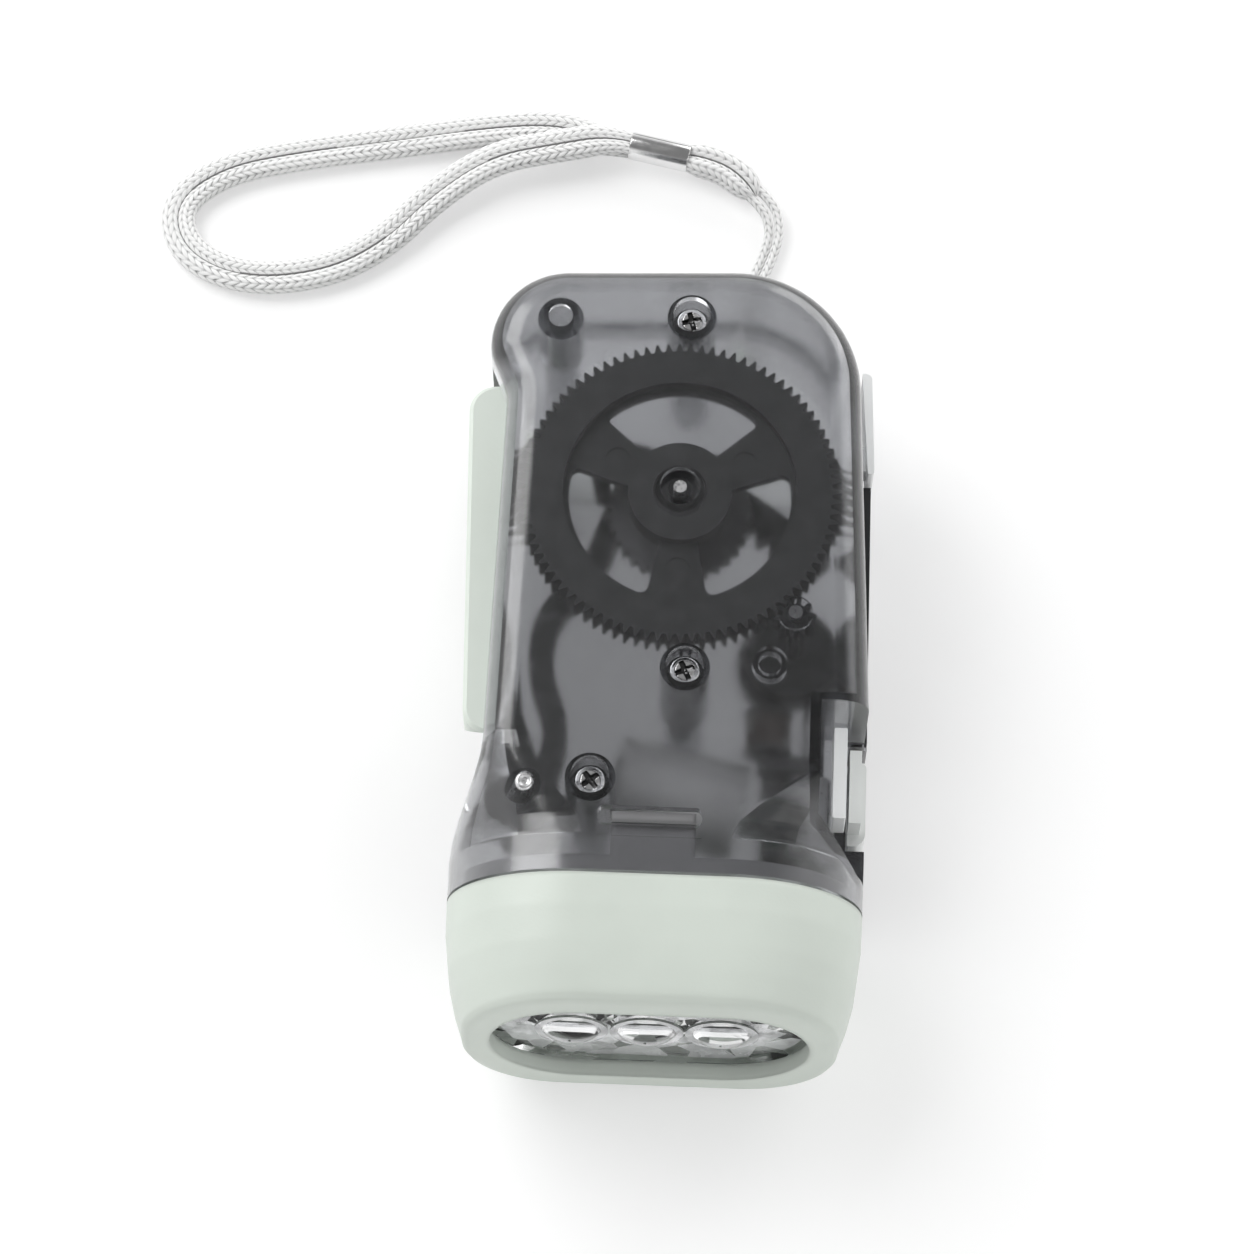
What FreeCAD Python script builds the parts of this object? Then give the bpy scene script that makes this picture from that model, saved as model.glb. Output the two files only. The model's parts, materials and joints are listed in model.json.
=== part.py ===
import FreeCAD, Part
import math
import os

# Squeeze dynamo flashlight lying on its back, in millimetres.
# +X to the right, -Y towards the lens, +Z up through the front cover.
# The origin is on the resting plane, at the middle of the body.

# Casing
body_half_width = 25.0
body_thickness = 33.5
split_z = 17.0
wall = 1.7
joint_y = -30.3
tail_y = 48.35
tail_left_y = 46.9
case_left_low = -21.15
case_left_high = -20.3
case_right_low = 24.9
case_right_high = 22.2
tail_shoulder_x = -22.6
shoulder_start_y = 31.0
shoulder_end_y = 36.4
side_bend_radius = 40.0
case_front_y = -13.0
flare_end_y = -25.5
flare_steps = 6
case_top_round = 4.0
case_bottom_round = 3.2
tail_left_radius = 9.6
tail_right_radius = 15.5
shoulder_radius = 5.5
lip_thickness = 0.8
lip_height = 0.9
lip_clearance = 0.12

# Rounded corners of the head's section, above and below
head_corner_upper = 16.2
head_corner_lower = 11.0

# Bezel
bezel_gap = 0.3
face_lean = 5.2
face_low_z = 2.4
face_high_z = 31.2
face_low_y = -48.4
face_round = 1.5
face_corner_upper = 13.9
face_corner_lower = 11.8

# How far the bezel draws in at its sides, bottom and top, by its share of the way to the rim
bezel_taper = [
    (0.0, 0.0, 0.05, 0.1),
    (0.29, 0.1, 0.15, 0.2),
    (0.6, 0.65, 0.55, 0.6),
    (0.82, 1.45, 1.1, 1.0),
    (1.0, 2.35, 2.0, 1.4),
]
opening_width = 38.2
opening_height = 21.0
opening_depth = 2.0
spigot_length = 2.2
spigot_wall = 1.3
spigot_clearance = 0.15
tongue_width = 10.0
tongue_thickness = 1.4
snap_slot_width = 12.4
snap_slot_length = 2.1
snap_slot_y = -23.4
snap_slot_x = -0.9
tongue_shift = 0.5
hook_gap = 0.25
hook_reach = 1.6
hook_sink = 0.7
bezel_hollow_length = 7.4
lens_pocket_depth = 10.0

# Lens, reflector and lamps
lamp_pitch = 9.0
lamp_radius = 2.5
lamp_reach = 5.2
lamp_bands = 4
lens_thickness = 1.6
lens_seat = 1.0
dome_radius = 3.8
dome_height = 1.6
dome_ring = 0.6
lens_fit = 0.1
reflector_depth = 8.0
cup_front_radius = 4.2
cup_back_radius = 2.75
cup_depth = 5.0
lamp_board_thickness = 1.2

# Gear train
gear_x = 1.25
gear_y = 18.4
lever_module = 0.7
pinion_teeth = 10
sector_teeth = 129
fine_module = 0.43
wheel_teeth = 88
rotor_teeth = 10
pivot_direction = 245.8
rotor_direction = -47.0
gear_backlash = 0.1
running_clearance = 0.06
shaft_radius = 0.8
wheel_low_z = 27.0
wheel_high_z = 31.0
web_low_z = 28.2
web_high_z = 29.6
rim_inner_radius = 14.2
window_outer_radius = 13.5
hub_radius = 6.3
hub_low_z = 27.6
spoke_hub_width = 4.7
spoke_rim_width = 7.4
spoke_mark_radius = 1.5
counterbore_radius = 3.3
counterbore_floor_z = 28.6
hub_foot_radius = 2.6
hub_foot_z = 24.5
pinion_low_z = 17.8
ratchet_low_z = 22.5
ratchet_high_z = 24.3
ratchet_radius = 8.95
ratchet_depth = 0.75
ratchet_teeth = 34
pawl_pin_radius = 0.6
pawl_pin_ring = 11.6
pawl_low_z = 22.8
pawl_angles = (30, 150)

# Lever
arm_low_z = 18.1
arm_high_z = 21.9
arm_width = 3.0
sector_addendum = 0.75
sector_rim = 3.0
sector_start = 41.5
sector_end = 71.0
sector_tail = 77.0
lever_hub_radius = 4.2
lever_hub_low_z = 14.5
pin_radius = 1.15
grip_low_z = 7.5
grip_high_z = 25.5
grip_outer_low = -23.9
grip_outer_high = -25.15
grip_inner_x = -18.6
grip_low_y = -11.3
grip_high_y = 34.0
grip_wall = 1.6
grip_corner = 3.3
grip_undercut = 7.0
grip_edge_bevel = 0.5
slot_clearance = 0.4
link_low_z = 18.3
link_high_z = 21.7
link_slot_y = -20.0
lever_opening_end = 36.2

# Return spring
spring_wire = 0.7
spring_radius = 3.6
spring_pitch = 1.3
spring_curls = 3
spring_low_z = 6.0

# Generator
rotor_low_z = 8.6
rotor_high_z = 14.2
magnet_radius = 4.5
pole_gap = 0.35
pole_outer_radius = 6.6
core_low_z = 10.2
core_high_z = 13.0
core_leg = 2.6
coil_radius = 3.0
coil_length = 5.4
flywheel_radius = 5.6
flywheel_low_z = 14.9
flywheel_high_z = 17.6

# Battery
cell_radius = 5.8
cell_height = 5.3
cell_count = 3
cell_gap = 0.05
sleeve_wall = 0.15
tab_thickness = 0.3
pack_x = 2.3
pack_y = -13.3
pack_z = 8.2
pack_angle = -12.0

# Circuit board and switch
board_thickness = 1.2
board_z = 8.0
switch_travel = 1.6
recess_x = 19.0
recess_low_y = -21.7
recess_high_y = -8.2
pocket_x = 22.7
pocket_low_z = 9.5
recess_floor_z = 18.2

# Lock
lock_travel = 3.0
lock_bar_z = 3.3
lock_bar_thickness = 1.6
lock_bar_y = 27.2
lock_bar_width = 4.0
lock_end_x = -17.9
lock_finger_width = 1.4
lock_finger_low_z = 10.1
lock_finger_high_z = 11.9
lock_finger_reach = 3.9
lug_thickness = 1.2
lug_y = 31.5
lug_wall = 1.0
lug_clearance_x = 0.7
lug_clearance_z = 0.3

# Screws
screw_places = [(1.92, 40.95), (2.6, -4.4), (-8.14, -18.6)]
screw_head_radius = 1.75
screw_head_height = 1.6
screw_head_bevel = 0.5
screw_shank_radius = 0.95
screw_length = 20.0
well_radius = 2.3
well_wall = 0.7
well_depth = 3.7
post_radius = 2.4

# Strap
strap_width = 4.6
strap_thickness = 2.2
string_radius = 0.7
wire_radius = 0.45
strap_pin_x = 8.0
strap_pin_y = 45.55
strap_pin_radius = 0.75

FAR = 200.0


def V(x, y, z=0.0):
    return FreeCAD.Vector(x, y, z)


def box(x0, x1, y0, y1, z0, z1):
    return Part.makeBox(x1 - x0, y1 - y0, z1 - z0, V(x0, y0, z0))


def rod(x, y, z0, z1, radius):
    return Part.makeCylinder(radius, z1 - z0, V(x, y, z0))


def pipe(x, y, z0, z1, outer, inner):
    return rod(x, y, z0, z1, outer).cut(rod(x, y, z0, z1, inner))


def turned(shape, x, y, angle):
    copy = shape.copy()
    copy.rotate(V(x, y), V(0, 0, 1), angle)
    return copy


def moved(shape, x, y, z=0.0):
    copy = shape.copy()
    copy.translate(V(x, y, z))
    return copy


def prism(points, z0, z1):
    corners = [V(x, y, z0) for x, y in points]
    face = Part.Face(Part.makePolygon(corners + [corners[0]]))
    return face.extrude(V(0, 0, z1 - z0))


def fused(shapes):
    whole = shapes[0].fuse(shapes[1:]) if len(shapes) > 1 else shapes[0]
    return whole.removeSplitter()


def rounded_edges(points, radii, closed=True):
    """Straight edges joined by tangent arcs; radius 0 keeps a sharp corner."""
    count = len(points)
    arcs = []
    for i, point in enumerate(points):
        if radii[i] <= 0 or (not closed and i in (0, count - 1)):
            arcs.append((point, None, point))
            continue
        back = points[i - 1].sub(point).normalize()
        ahead = points[(i + 1) % count].sub(point).normalize()
        half = back.getAngle(ahead) / 2
        reach = radii[i] / math.tan(half)
        middle = back.add(ahead).normalize()
        middle.multiply(radii[i] / math.sin(half) - radii[i])
        start = point.add(V(back.x, back.y, back.z).multiply(reach))
        end = point.add(V(ahead.x, ahead.y, ahead.z).multiply(reach))
        arcs.append((start, point.add(middle), end))
    edges = []
    for i in range(count if closed else count - 1):
        start, middle, end = arcs[i]
        if middle is not None:
            edges.append(Part.Arc(start, middle, end).toShape())
        following = arcs[(i + 1) % count][0]
        if end.distanceToPoint(following) > 1e-6:
            edges.append(Part.LineSegment(end, following).toShape())
    return edges


def rounded_prism(points, radii, z0, z1):
    corners = [V(x, y, z0) for x, y in points]
    wire = Part.Wire(rounded_edges(corners, radii))
    return Part.Face(wire).extrude(V(0, 0, z1 - z0))


def route(points, share=0.45):
    """A cord's path: straight runs joined by the largest tangent arcs."""
    radii = [0.0]
    for i in range(1, len(points) - 1):
        back = points[i - 1].sub(points[i])
        ahead = points[i + 1].sub(points[i])
        turn = math.pi - back.getAngle(ahead)
        shorter = min(back.Length, ahead.Length)
        radii.append(share * shorter / math.tan(turn / 2))
    radii.append(0.0)
    wire = Part.Wire(rounded_edges(points, radii, closed=False))
    return wire, radii[1:-1]


def swept(profile, path):
    shell = path.makePipeShell([profile], True, False)
    return Part.Solid(shell) if shell.ShapeType != "Solid" else shell


def many_sided(start, along, radius, sides):
    """A cord's section as a regular polygon, square to its first run."""
    ahead = V(along.x, along.y, along.z).normalize()
    side = ahead.cross(V(0, 0, 1)).normalize()
    up = side.cross(ahead)
    corners = []
    for i in range(sides):
        a = 2 * math.pi * (i + 0.5) / sides
        corners.append(start.add(V(side.x, side.y, side.z).multiply(radius * math.cos(a)))
                       .add(V(up.x, up.y, up.z).multiply(radius * math.sin(a))))
    return Part.makePolygon(corners + [corners[0]])


def round_cord(points, radius, sides):
    path, radii = route(points)
    profile = many_sided(points[0], points[1].sub(points[0]), radius, sides)
    return swept(profile, path), path, radii, Part.Face(profile).Area


# Casing shapes

def inset_outline(points, distance):
    """Moves each side of an open, clockwise outline inwards, except its base."""
    count = len(points)
    lines = []
    for i in range(count - 1):
        along = points[i + 1].sub(points[i]).normalize()
        inward = V(along.y, -along.x).multiply(distance)
        lines.append((points[i].add(inward), along))
    moved_points = []
    base = points[0].y
    first, along = lines[0]
    moved_points.append(first.add(V(along.x, along.y).multiply((base - first.y) / along.y)))
    for (p, u), (q, v) in zip(lines, lines[1:]):
        cross = u.x * v.y - u.y * v.x
        gap = q.sub(p)
        step = (gap.x * v.y - gap.y * v.x) / cross
        moved_points.append(p.add(V(u.x, u.y).multiply(step)))
    last, along = lines[-1]
    moved_points.append(last.add(V(along.x, along.y).multiply((base - last.y) / along.y)))
    return moved_points


def case_block(inset, rounded=True):
    """The long part of the casing; outside, its top and bottom edges are rounded."""
    outline = [
        V(case_left_low, case_front_y),
        V(case_left_low, case_front_y + 2.0),
        V(case_left_high, shoulder_start_y),
        V(tail_shoulder_x, shoulder_end_y),
        V(tail_shoulder_x, tail_left_y),
        V(case_right_high, tail_y + 0.25),
        V(case_right_low, case_front_y + 2.0),
        V(case_right_low, case_front_y),
    ]
    corners = inset_outline(outline, inset)
    shoulder_in = shoulder_radius + inset
    shoulder_out = shoulder_radius - inset
    bend = side_bend_radius - inset
    radii = [0, bend, shoulder_in, shoulder_out, tail_left_radius - inset, tail_right_radius - inset, bend, 0]
    low = inset
    high = body_thickness - inset
    corners = [V(p.x, p.y, low) for p in corners]
    face = Part.Face(Part.Wire(rounded_edges(corners, radii)))
    block = face.extrude(V(0, 0, high - low))
    if not rounded:
        return block
    top = []
    for edge in block.Edges:
        flat = edge.BoundBox.ZLength < 1e-6
        on_front = edge.BoundBox.YMax < case_front_y + 1e-6
        if flat and not on_front and edge.BoundBox.ZMax > high - 1e-6:
            top.append(edge)
    block = block.makeFillet(case_top_round - inset, top)
    bottom = [e for e in block.Edges if e.BoundBox.ZMax < low + 1e-6 and e.BoundBox.YMax > case_front_y + 1e-6]
    return block.makeFillet(case_bottom_round - inset, bottom)


def oval_section(y, left, right, low, high, upper, lower, flats=0):
    """A closed section across the body with rounded corners, or with a few flats on each round."""

    def corner(cx, cz, radius, begin):
        def at(turn):
            angle = math.radians(begin + turn)
            return V(cx + radius * math.cos(angle), y, cz + radius * math.sin(angle))

        if not flats:
            return [Part.Arc(at(0), at(45), at(90)).toShape()]
        points = [at(90.0 * step / flats) for step in range(flats + 1)]
        return [Part.LineSegment(p, q).toShape() for p, q in zip(points, points[1:])]

    side_low = low + lower
    side_high = high - upper
    edges = [Part.LineSegment(V(left + lower, y, low), V(right - lower, y, low)).toShape()]
    edges += corner(right - lower, side_low, lower, 270)
    edges.append(Part.LineSegment(V(right, y, side_low), V(right, y, side_high)).toShape())
    edges += corner(right - upper, side_high, upper, 0)
    edges.append(Part.LineSegment(V(right - upper, y, high), V(left + upper, y, high)).toShape())
    edges += corner(left + upper, side_high, upper, 90)
    edges.append(Part.LineSegment(V(left, y, side_high), V(left, y, side_low)).toShape())
    edges += corner(left + lower, side_low, lower, 180)
    return Part.Wire(edges)


def blend(start, end, share):
    return start + (end - start) * share


def head_section(y, inset, flats=0):
    """The oval head's section at the joint."""
    return oval_section(
        y, -body_half_width + inset, body_half_width - inset, inset, body_thickness - inset,
        head_corner_upper - inset, head_corner_lower - inset, flats,
    )


def head_block(inset, front_y, flats=0):
    """The flare from the casing's section to the oval head."""
    wires = []
    for step in range(flare_steps + 1):
        t = step / flare_steps
        share = t * t * (3 - 2 * t)
        y = blend(case_front_y, flare_end_y, t)
        wires.append(oval_section(
            y,
            blend(case_left_low, -body_half_width, share) + inset,
            blend(case_right_low, body_half_width, share) - inset,
            inset,
            body_thickness - inset,
            blend(case_top_round, head_corner_upper, share) - inset,
            blend(case_bottom_round, head_corner_lower, share) - inset,
            flats,
        ))
    flare = Part.makeLoft(wires, True, True)
    collar = Part.Face(head_section(flare_end_y, inset)).extrude(V(0, front_y - flare_end_y, 0))
    return flare.fuse(collar)


def casing_form(inset, front_y):
    return case_block(inset).fuse(head_block(inset, front_y))


def cavity_form(inset, front_y):
    """The casing's form drawn in by a wall, with square inner edges and a flare of flats."""
    return case_block(inset, rounded=False).fuse(head_block(inset, front_y, flats=3))


def well(x, y):
    """A screw's well and the post below it, down to the split."""
    return rod(x, y, split_z, body_thickness - 0.5, well_radius + well_wall)


def well_bore(x, y):
    seat_top = body_thickness - well_depth
    hole = rod(x, y, seat_top, body_thickness + 1, well_radius)
    clearance = screw_shank_radius + running_clearance
    return hole.fuse(rod(x, y, split_z - 1, body_thickness, clearance))


pivot_distance = lever_module * (sector_teeth - pinion_teeth) / 2
pivot_x = gear_x + pivot_distance * math.cos(math.radians(pivot_direction))
pivot_y = gear_y + pivot_distance * math.sin(math.radians(pivot_direction))
rotor_distance = fine_module * (wheel_teeth + rotor_teeth) / 2
rotor_x = gear_x + rotor_distance * math.cos(math.radians(rotor_direction))
rotor_y = gear_y + rotor_distance * math.sin(math.radians(rotor_direction))
inner_top = body_thickness - wall


def lever_openings():
    """What the lever needs open in the left wall of both shells."""
    reach_x = grip_inner_x + 1.6
    grip_way = box(
        -FAR, reach_x,
        grip_low_y - 1.3, lever_opening_end,
        grip_low_z - slot_clearance, grip_high_z + slot_clearance,
    )
    link_way = box(
        -FAR, reach_x,
        link_slot_y, grip_low_y,
        link_low_z - 2 * slot_clearance, link_high_z + 2 * slot_clearance,
    )
    return grip_way.fuse(link_way)


def recess_outline(margin):
    ramp = 5.0
    return [
        (recess_x - margin, recess_high_y + margin),
        (FAR, recess_high_y + margin),
        (FAR, recess_low_y - ramp - margin),
        (recess_x + ramp - 0.4 * margin, recess_low_y - ramp - margin),
        (recess_x - margin, recess_low_y - 0.4 * margin),
    ]


def front_shell():
    outer = casing_form(0, joint_y)
    inner = cavity_form(wall, joint_y - 1)
    above = box(-FAR, FAR, -FAR, FAR, split_z, FAR)
    shell = outer.cut(inner).common(above)
    recess_wall = prism(recess_outline(1.3), split_z, FAR)
    recess = prism(recess_outline(0), recess_floor_z, FAR)
    pocket = box(pocket_x, FAR, recess_low_y - 0.5, recess_high_y, 0, FAR)
    shell = shell.fuse(recess_wall.common(outer))
    shell = shell.cut(recess).cut(pocket)
    additions = [well(x, y) for x, y in screw_places]
    shaft_boss = rod(gear_x, gear_y, 29.2, body_thickness - 0.5, 3.0)
    pin_boss = rod(pivot_x, pivot_y, 26.2, body_thickness - 0.5, 2.05).common(outer)
    spare_boss = rod(-14.1, 40.2, 22.0, body_thickness - 0.5, 2.8)
    ring_boss = pipe(12.75, -3.45, 30.0, inner_top + 0.5, 2.1, 1.4)
    rotor_boss = rod(rotor_x, rotor_y, 31.2, inner_top + 0.5, 2.1)
    additions += [shaft_boss, pin_boss, spare_boss, ring_boss, rotor_boss]
    shell = shell.fuse(additions)
    cuts = [well_bore(x, y) for x, y in screw_places]
    cuts.append(rod(gear_x, gear_y, 29.8, FAR, 2.45))
    cuts.append(rod(gear_x, gear_y, 0, FAR, shaft_radius))
    cuts.append(rod(pivot_x, pivot_y, 0, FAR, pin_radius))
    cuts.append(rod(-14.1, 40.2, 0, FAR, 1.5))
    cuts.append(rod(rotor_x, rotor_y, 0, 32.3, shaft_radius + running_clearance))
    slot_half = snap_slot_width / 2
    slot_x = snap_slot_x
    slot = rounded_prism(
        [
            (slot_x - slot_half, snap_slot_y - snap_slot_length / 2),
            (slot_x + slot_half, snap_slot_y - snap_slot_length / 2),
            (slot_x + slot_half, snap_slot_y + snap_slot_length / 2),
            (slot_x - slot_half, snap_slot_y + snap_slot_length / 2),
        ],
        [0.8] * 4, inner_top - 1, FAR,
    )
    step = box(
        slot_x - slot_half, slot_x + slot_half,
        snap_slot_y - snap_slot_length / 2 - 1.6, snap_slot_y,
        body_thickness - 0.4, FAR,
    )
    cuts += [slot, step, lever_openings()]
    shell = shell.cut(cuts)
    collar = pipe(gear_x, gear_y, 29.2, 32.4, 1.45, shaft_radius)
    return shell.fuse(collar).removeSplitter()


def rear_shell():
    outer = casing_form(0, joint_y)
    inner = cavity_form(wall, joint_y - 1)
    below = box(-FAR, FAR, -FAR, FAR, -FAR, split_z)
    shell = outer.cut(inner).common(below)
    lip_outer = case_block(wall + lip_clearance, rounded=False)
    lip_inner = case_block(wall + lip_clearance + lip_thickness, rounded=False)
    lip = lip_outer.cut(lip_inner).common(box(-FAR, FAR, -FAR, FAR, split_z - 1.5, split_z + lip_height))
    case_stretch = box(-FAR, FAR, case_front_y, FAR, split_z - 1.5, split_z - 0.6)
    seam = outer.cut(lip_inner).common(case_stretch)
    recess_way = box(recess_x - 1.8, FAR, recess_low_y - 7.5, recess_high_y + 2.0, 0, FAR)
    shell = shell.fuse([lip.cut(recess_way), seam.cut(recess_way)])
    rail = prism(
        [(22.5, -8.4), (25.15, -8.4), (24.95, 25.8), (22.0, 25.8)], 10.5, 15.2,
    ).cut(inner)
    pocket_wall = box(pocket_x - 1.3, FAR, recess_low_y - 1.8, recess_high_y + 1.0, pocket_low_z - 1.3, split_z)
    pocket = box(pocket_x, FAR, recess_low_y - 0.5, recess_high_y - 0.3, pocket_low_z, FAR)
    shell = shell.fuse([rail, pocket_wall.common(outer)]).cut(pocket)
    additions = []
    for x, y in screw_places:
        additions.append(rod(x, y, wall - 0.5, split_z, post_radius))
    additions.append(rod(gear_x, gear_y, wall - 0.5, 17.6, 3.0))
    additions.append(rod(pivot_x, pivot_y, wall - 0.5, 14.2, 2.6))
    additions.append(rod(rotor_x, rotor_y, wall - 0.5, 8.0, 2.2))
    additions.append(rod(-14.1, 40.2, wall - 0.5, 21.7, 2.2))
    additions.append(rod(strap_pin_x, strap_pin_y, wall - 0.5, 3.3, 1.5))
    for y in (-22.2, -11.0):
        additions.append(rod(19.4, y, wall - 0.5, board_z, 1.3))
    for shift in (-5.5, 5.5):
        rib = box(shift - 0.6, shift + 0.6, -5.2, 5.2, wall - 0.5, 6.0)
        additions.append(turned(moved(rib, pack_x, pack_y), pack_x, pack_y, pack_angle))
    for x in (-12.0, 12.0):
        additions.append(box(x - 1, x + 1, 23.5, 34.5, wall - 0.5, lock_bar_z - 0.2))
    core_rest = box(17.6, 19.6, -10.3, -8.9, wall - 0.5, core_low_z)
    additions.append(core_rest)
    shell = shell.fuse(additions)
    cuts = []
    for x, y in screw_places:
        cuts.append(rod(x, y, 6.0, FAR, screw_shank_radius))
    cuts.append(rod(gear_x, gear_y, 2.2, FAR, shaft_radius))
    cuts.append(rod(pivot_x, pivot_y, 3.0, FAR, pin_radius))
    cuts.append(rod(rotor_x, rotor_y, 2.2, FAR, shaft_radius + running_clearance))
    cuts.append(rod(strap_pin_x, strap_pin_y, wall, FAR, strap_pin_radius))
    cuts.append(pack_cylinder(cell_radius + sleeve_wall, 30.0))
    cuts.append(box(17.0, FAR, lock_bar_y + 0.4, lock_bar_y + lock_bar_width + lock_travel + 0.4, 12.6, FAR))
    cuts.append(box(21.0, pocket_x + 1, -18.9, -16.0 + switch_travel + 0.4, 10.6, 13.9))
    string_slot = box(5.4, 10.6, tail_y - wall - 1, FAR, 3.3, 5.9)
    cuts.append(string_slot)
    cuts.append(lever_openings())
    return shell.cut(cuts).removeSplitter()


# Head

face_centre_z = (face_low_z + face_high_z) / 2
face_centre_y = face_low_y + (face_centre_z - face_low_z) * math.tan(math.radians(face_lean))


def on_face(shape):
    """Places what is modelled round the origin, facing -Y, on the leaning face."""
    copy = shape.copy()
    copy.rotate(V(0, 0, 0), V(1, 0, 0), -face_lean)
    copy.translate(V(0, face_centre_y, face_centre_z))
    return copy


def stadium(width, height, y0, y1):
    """A slab with round ends between two depths behind the face."""
    half = width / 2 - height / 2
    radius = height / 2
    edges = [
        Part.LineSegment(V(-half, y0, -radius), V(half, y0, -radius)).toShape(),
        Part.Arc(V(half, y0, -radius), V(half + radius, y0, 0), V(half, y0, radius)).toShape(),
        Part.LineSegment(V(half, y0, radius), V(-half, y0, radius)).toShape(),
        Part.Arc(V(-half, y0, radius), V(-half - radius, y0, 0), V(-half, y0, -radius)).toShape(),
    ]
    return Part.Face(Part.Wire(edges)).extrude(V(0, y1 - y0, 0))


def bezel_form():
    """The head's tapering block; its sections lean more and more, up to the rounded rim and the face."""
    back = joint_y - bezel_gap
    rim_y = face_centre_y + face_round
    places = [(blend(back, rim_y, row[0]), row, 0.0) for row in bezel_taper]
    for angle in (30, 60, 90):
        a = math.radians(angle)
        places.append((rim_y - face_round * math.sin(a), bezel_taper[-1], face_round * (1 - math.cos(a))))
    wires = []
    for y, (share, sides, bottom, top), inset in places:
        half = body_half_width - sides - inset
        wire = oval_section(
            0, -half, half, bottom + inset, body_thickness - top - inset,
            blend(head_corner_upper, face_corner_upper, share) - inset,
            blend(head_corner_lower, face_corner_lower, share) - inset,
        )
        wire.rotate(V(0, 0, face_centre_z), V(1, 0, 0), -face_lean * share)
        wire.translate(V(0, y, 0))
        wires.append(wire)
    return Part.makeLoft(wires, True, True)


def bezel():
    reach = wall + spigot_clearance
    deep = reach + spigot_wall
    start = joint_y - bezel_gap
    hollow = Part.Face(head_section(start + 1, deep)).extrude(V(0, -bezel_hollow_length - 1, 0))
    opening = on_face(stadium(opening_width, opening_height, -5, opening_depth + 0.1))
    pocket = on_face(stadium(opening_width + 2 * lens_seat, opening_height + 2 * lens_seat,
                             opening_depth, opening_depth + lens_pocket_depth))
    block = bezel_form().cut([hollow, opening, pocket])
    front = start - 1.0
    back = joint_y + spigot_length
    ring = V(0, back - front, 0)
    spigot = Part.Face(head_section(front, reach)).extrude(ring)
    spigot = spigot.cut(Part.Face(head_section(front, deep)).extrude(ring))
    top = inner_top - spigot_clearance
    slot_front = snap_slot_y - snap_slot_length / 2
    low_x = snap_slot_x + tongue_shift - tongue_width / 2
    high_x = low_x + tongue_width
    tongue = box(low_x, high_x, front, slot_front + hook_reach, top - tongue_thickness, top)
    hook = box(low_x, high_x, slot_front + hook_gap, slot_front + hook_reach, top - 0.2, body_thickness - hook_sink)
    return block.fuse([spigot, tongue, hook]).removeSplitter()


def lamp_places():
    return [(i - 1) * lamp_pitch - 0.4 for i in range(3)]


def lens():
    front = opening_depth
    plate = stadium(opening_width + 2 * lens_seat - 2 * lens_fit, opening_height + 2 * lens_seat - 2 * lens_fit,
                    front + 0.05, front + lens_thickness)
    curve = (dome_radius ** 2 + dome_height ** 2) / (2 * dome_height)
    low = math.degrees(math.acos(dome_radius / curve))
    shapes = [plate]
    for x in lamp_places():
        centre = V(x, front + curve - dome_height, 0)
        shapes.append(Part.makeSphere(curve, centre, V(0, -1, 0), low, 90, 360))
        shapes.append(Part.makeCylinder(dome_radius + dome_ring, 0.35, V(x, front - 0.25, 0), V(0, 1, 0)))
    return on_face(fused(shapes))


def reflector():
    front = opening_depth + lens_thickness + 0.1
    block = stadium(opening_width - 1.2, opening_height - 1.2, front, front + reflector_depth)
    cups = []
    for x in lamp_places():
        cups.append(Part.makeCone(cup_front_radius, cup_back_radius, cup_depth, V(x, front, 0), V(0, 1, 0)))
        cups.append(Part.makeCylinder(cup_back_radius, reflector_depth + 1, V(x, front, 0), V(0, 1, 0)))
    return on_face(block.cut(cups))


def lamp_dome(base):
    """The rounded front of a lamp, in bands of equal turn."""
    bands = []
    for i in range(lamp_bands):
        a = math.pi / 2 * i / lamp_bands
        b = math.pi / 2 * (i + 1) / lamp_bands
        low = base.add(V(0, -lamp_radius * math.sin(a), 0))
        height = lamp_radius * (math.sin(b) - math.sin(a))
        tip = lamp_radius * math.cos(b) if i < lamp_bands - 1 else 0.0
        bands.append(Part.makeCone(lamp_radius * math.cos(a), tip, height, low, V(0, -1, 0)))
    return fused(bands)


def lamps():
    front = opening_depth + lens_thickness + 0.1 + reflector_depth
    shapes = []
    for x in lamp_places():
        base = V(x, front - lamp_reach, 0)
        body = Part.makeCylinder(lamp_radius, lamp_reach + 0.4, base, V(0, 1, 0))
        flange = Part.makeCylinder(lamp_radius + 0.4, 1.0, V(x, front + 0.1, 0), V(0, 1, 0))
        shapes.append(on_face(fused([body, lamp_dome(base), flange])))
    return Part.makeCompound(shapes)


def lamp_board():
    front = opening_depth + lens_thickness + 0.1 + reflector_depth + 1.1
    plate = stadium(37.0, 19.0, front, front + lamp_board_thickness)
    return on_face(plate)


# Gears

def involute(angle):
    return math.tan(angle) - angle


def tooth_half_angle(teeth, module, radius, slack):
    """Half of a tooth's angle at a radius, for a 20 degree involute."""
    pitch = module * teeth / 2
    base = pitch * math.cos(math.radians(20))
    middle = (math.pi * module / 2 - slack) / (2 * pitch)
    lean = math.acos(min(1.0, base / radius))
    return middle + involute(math.radians(20)) - involute(lean)


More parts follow.
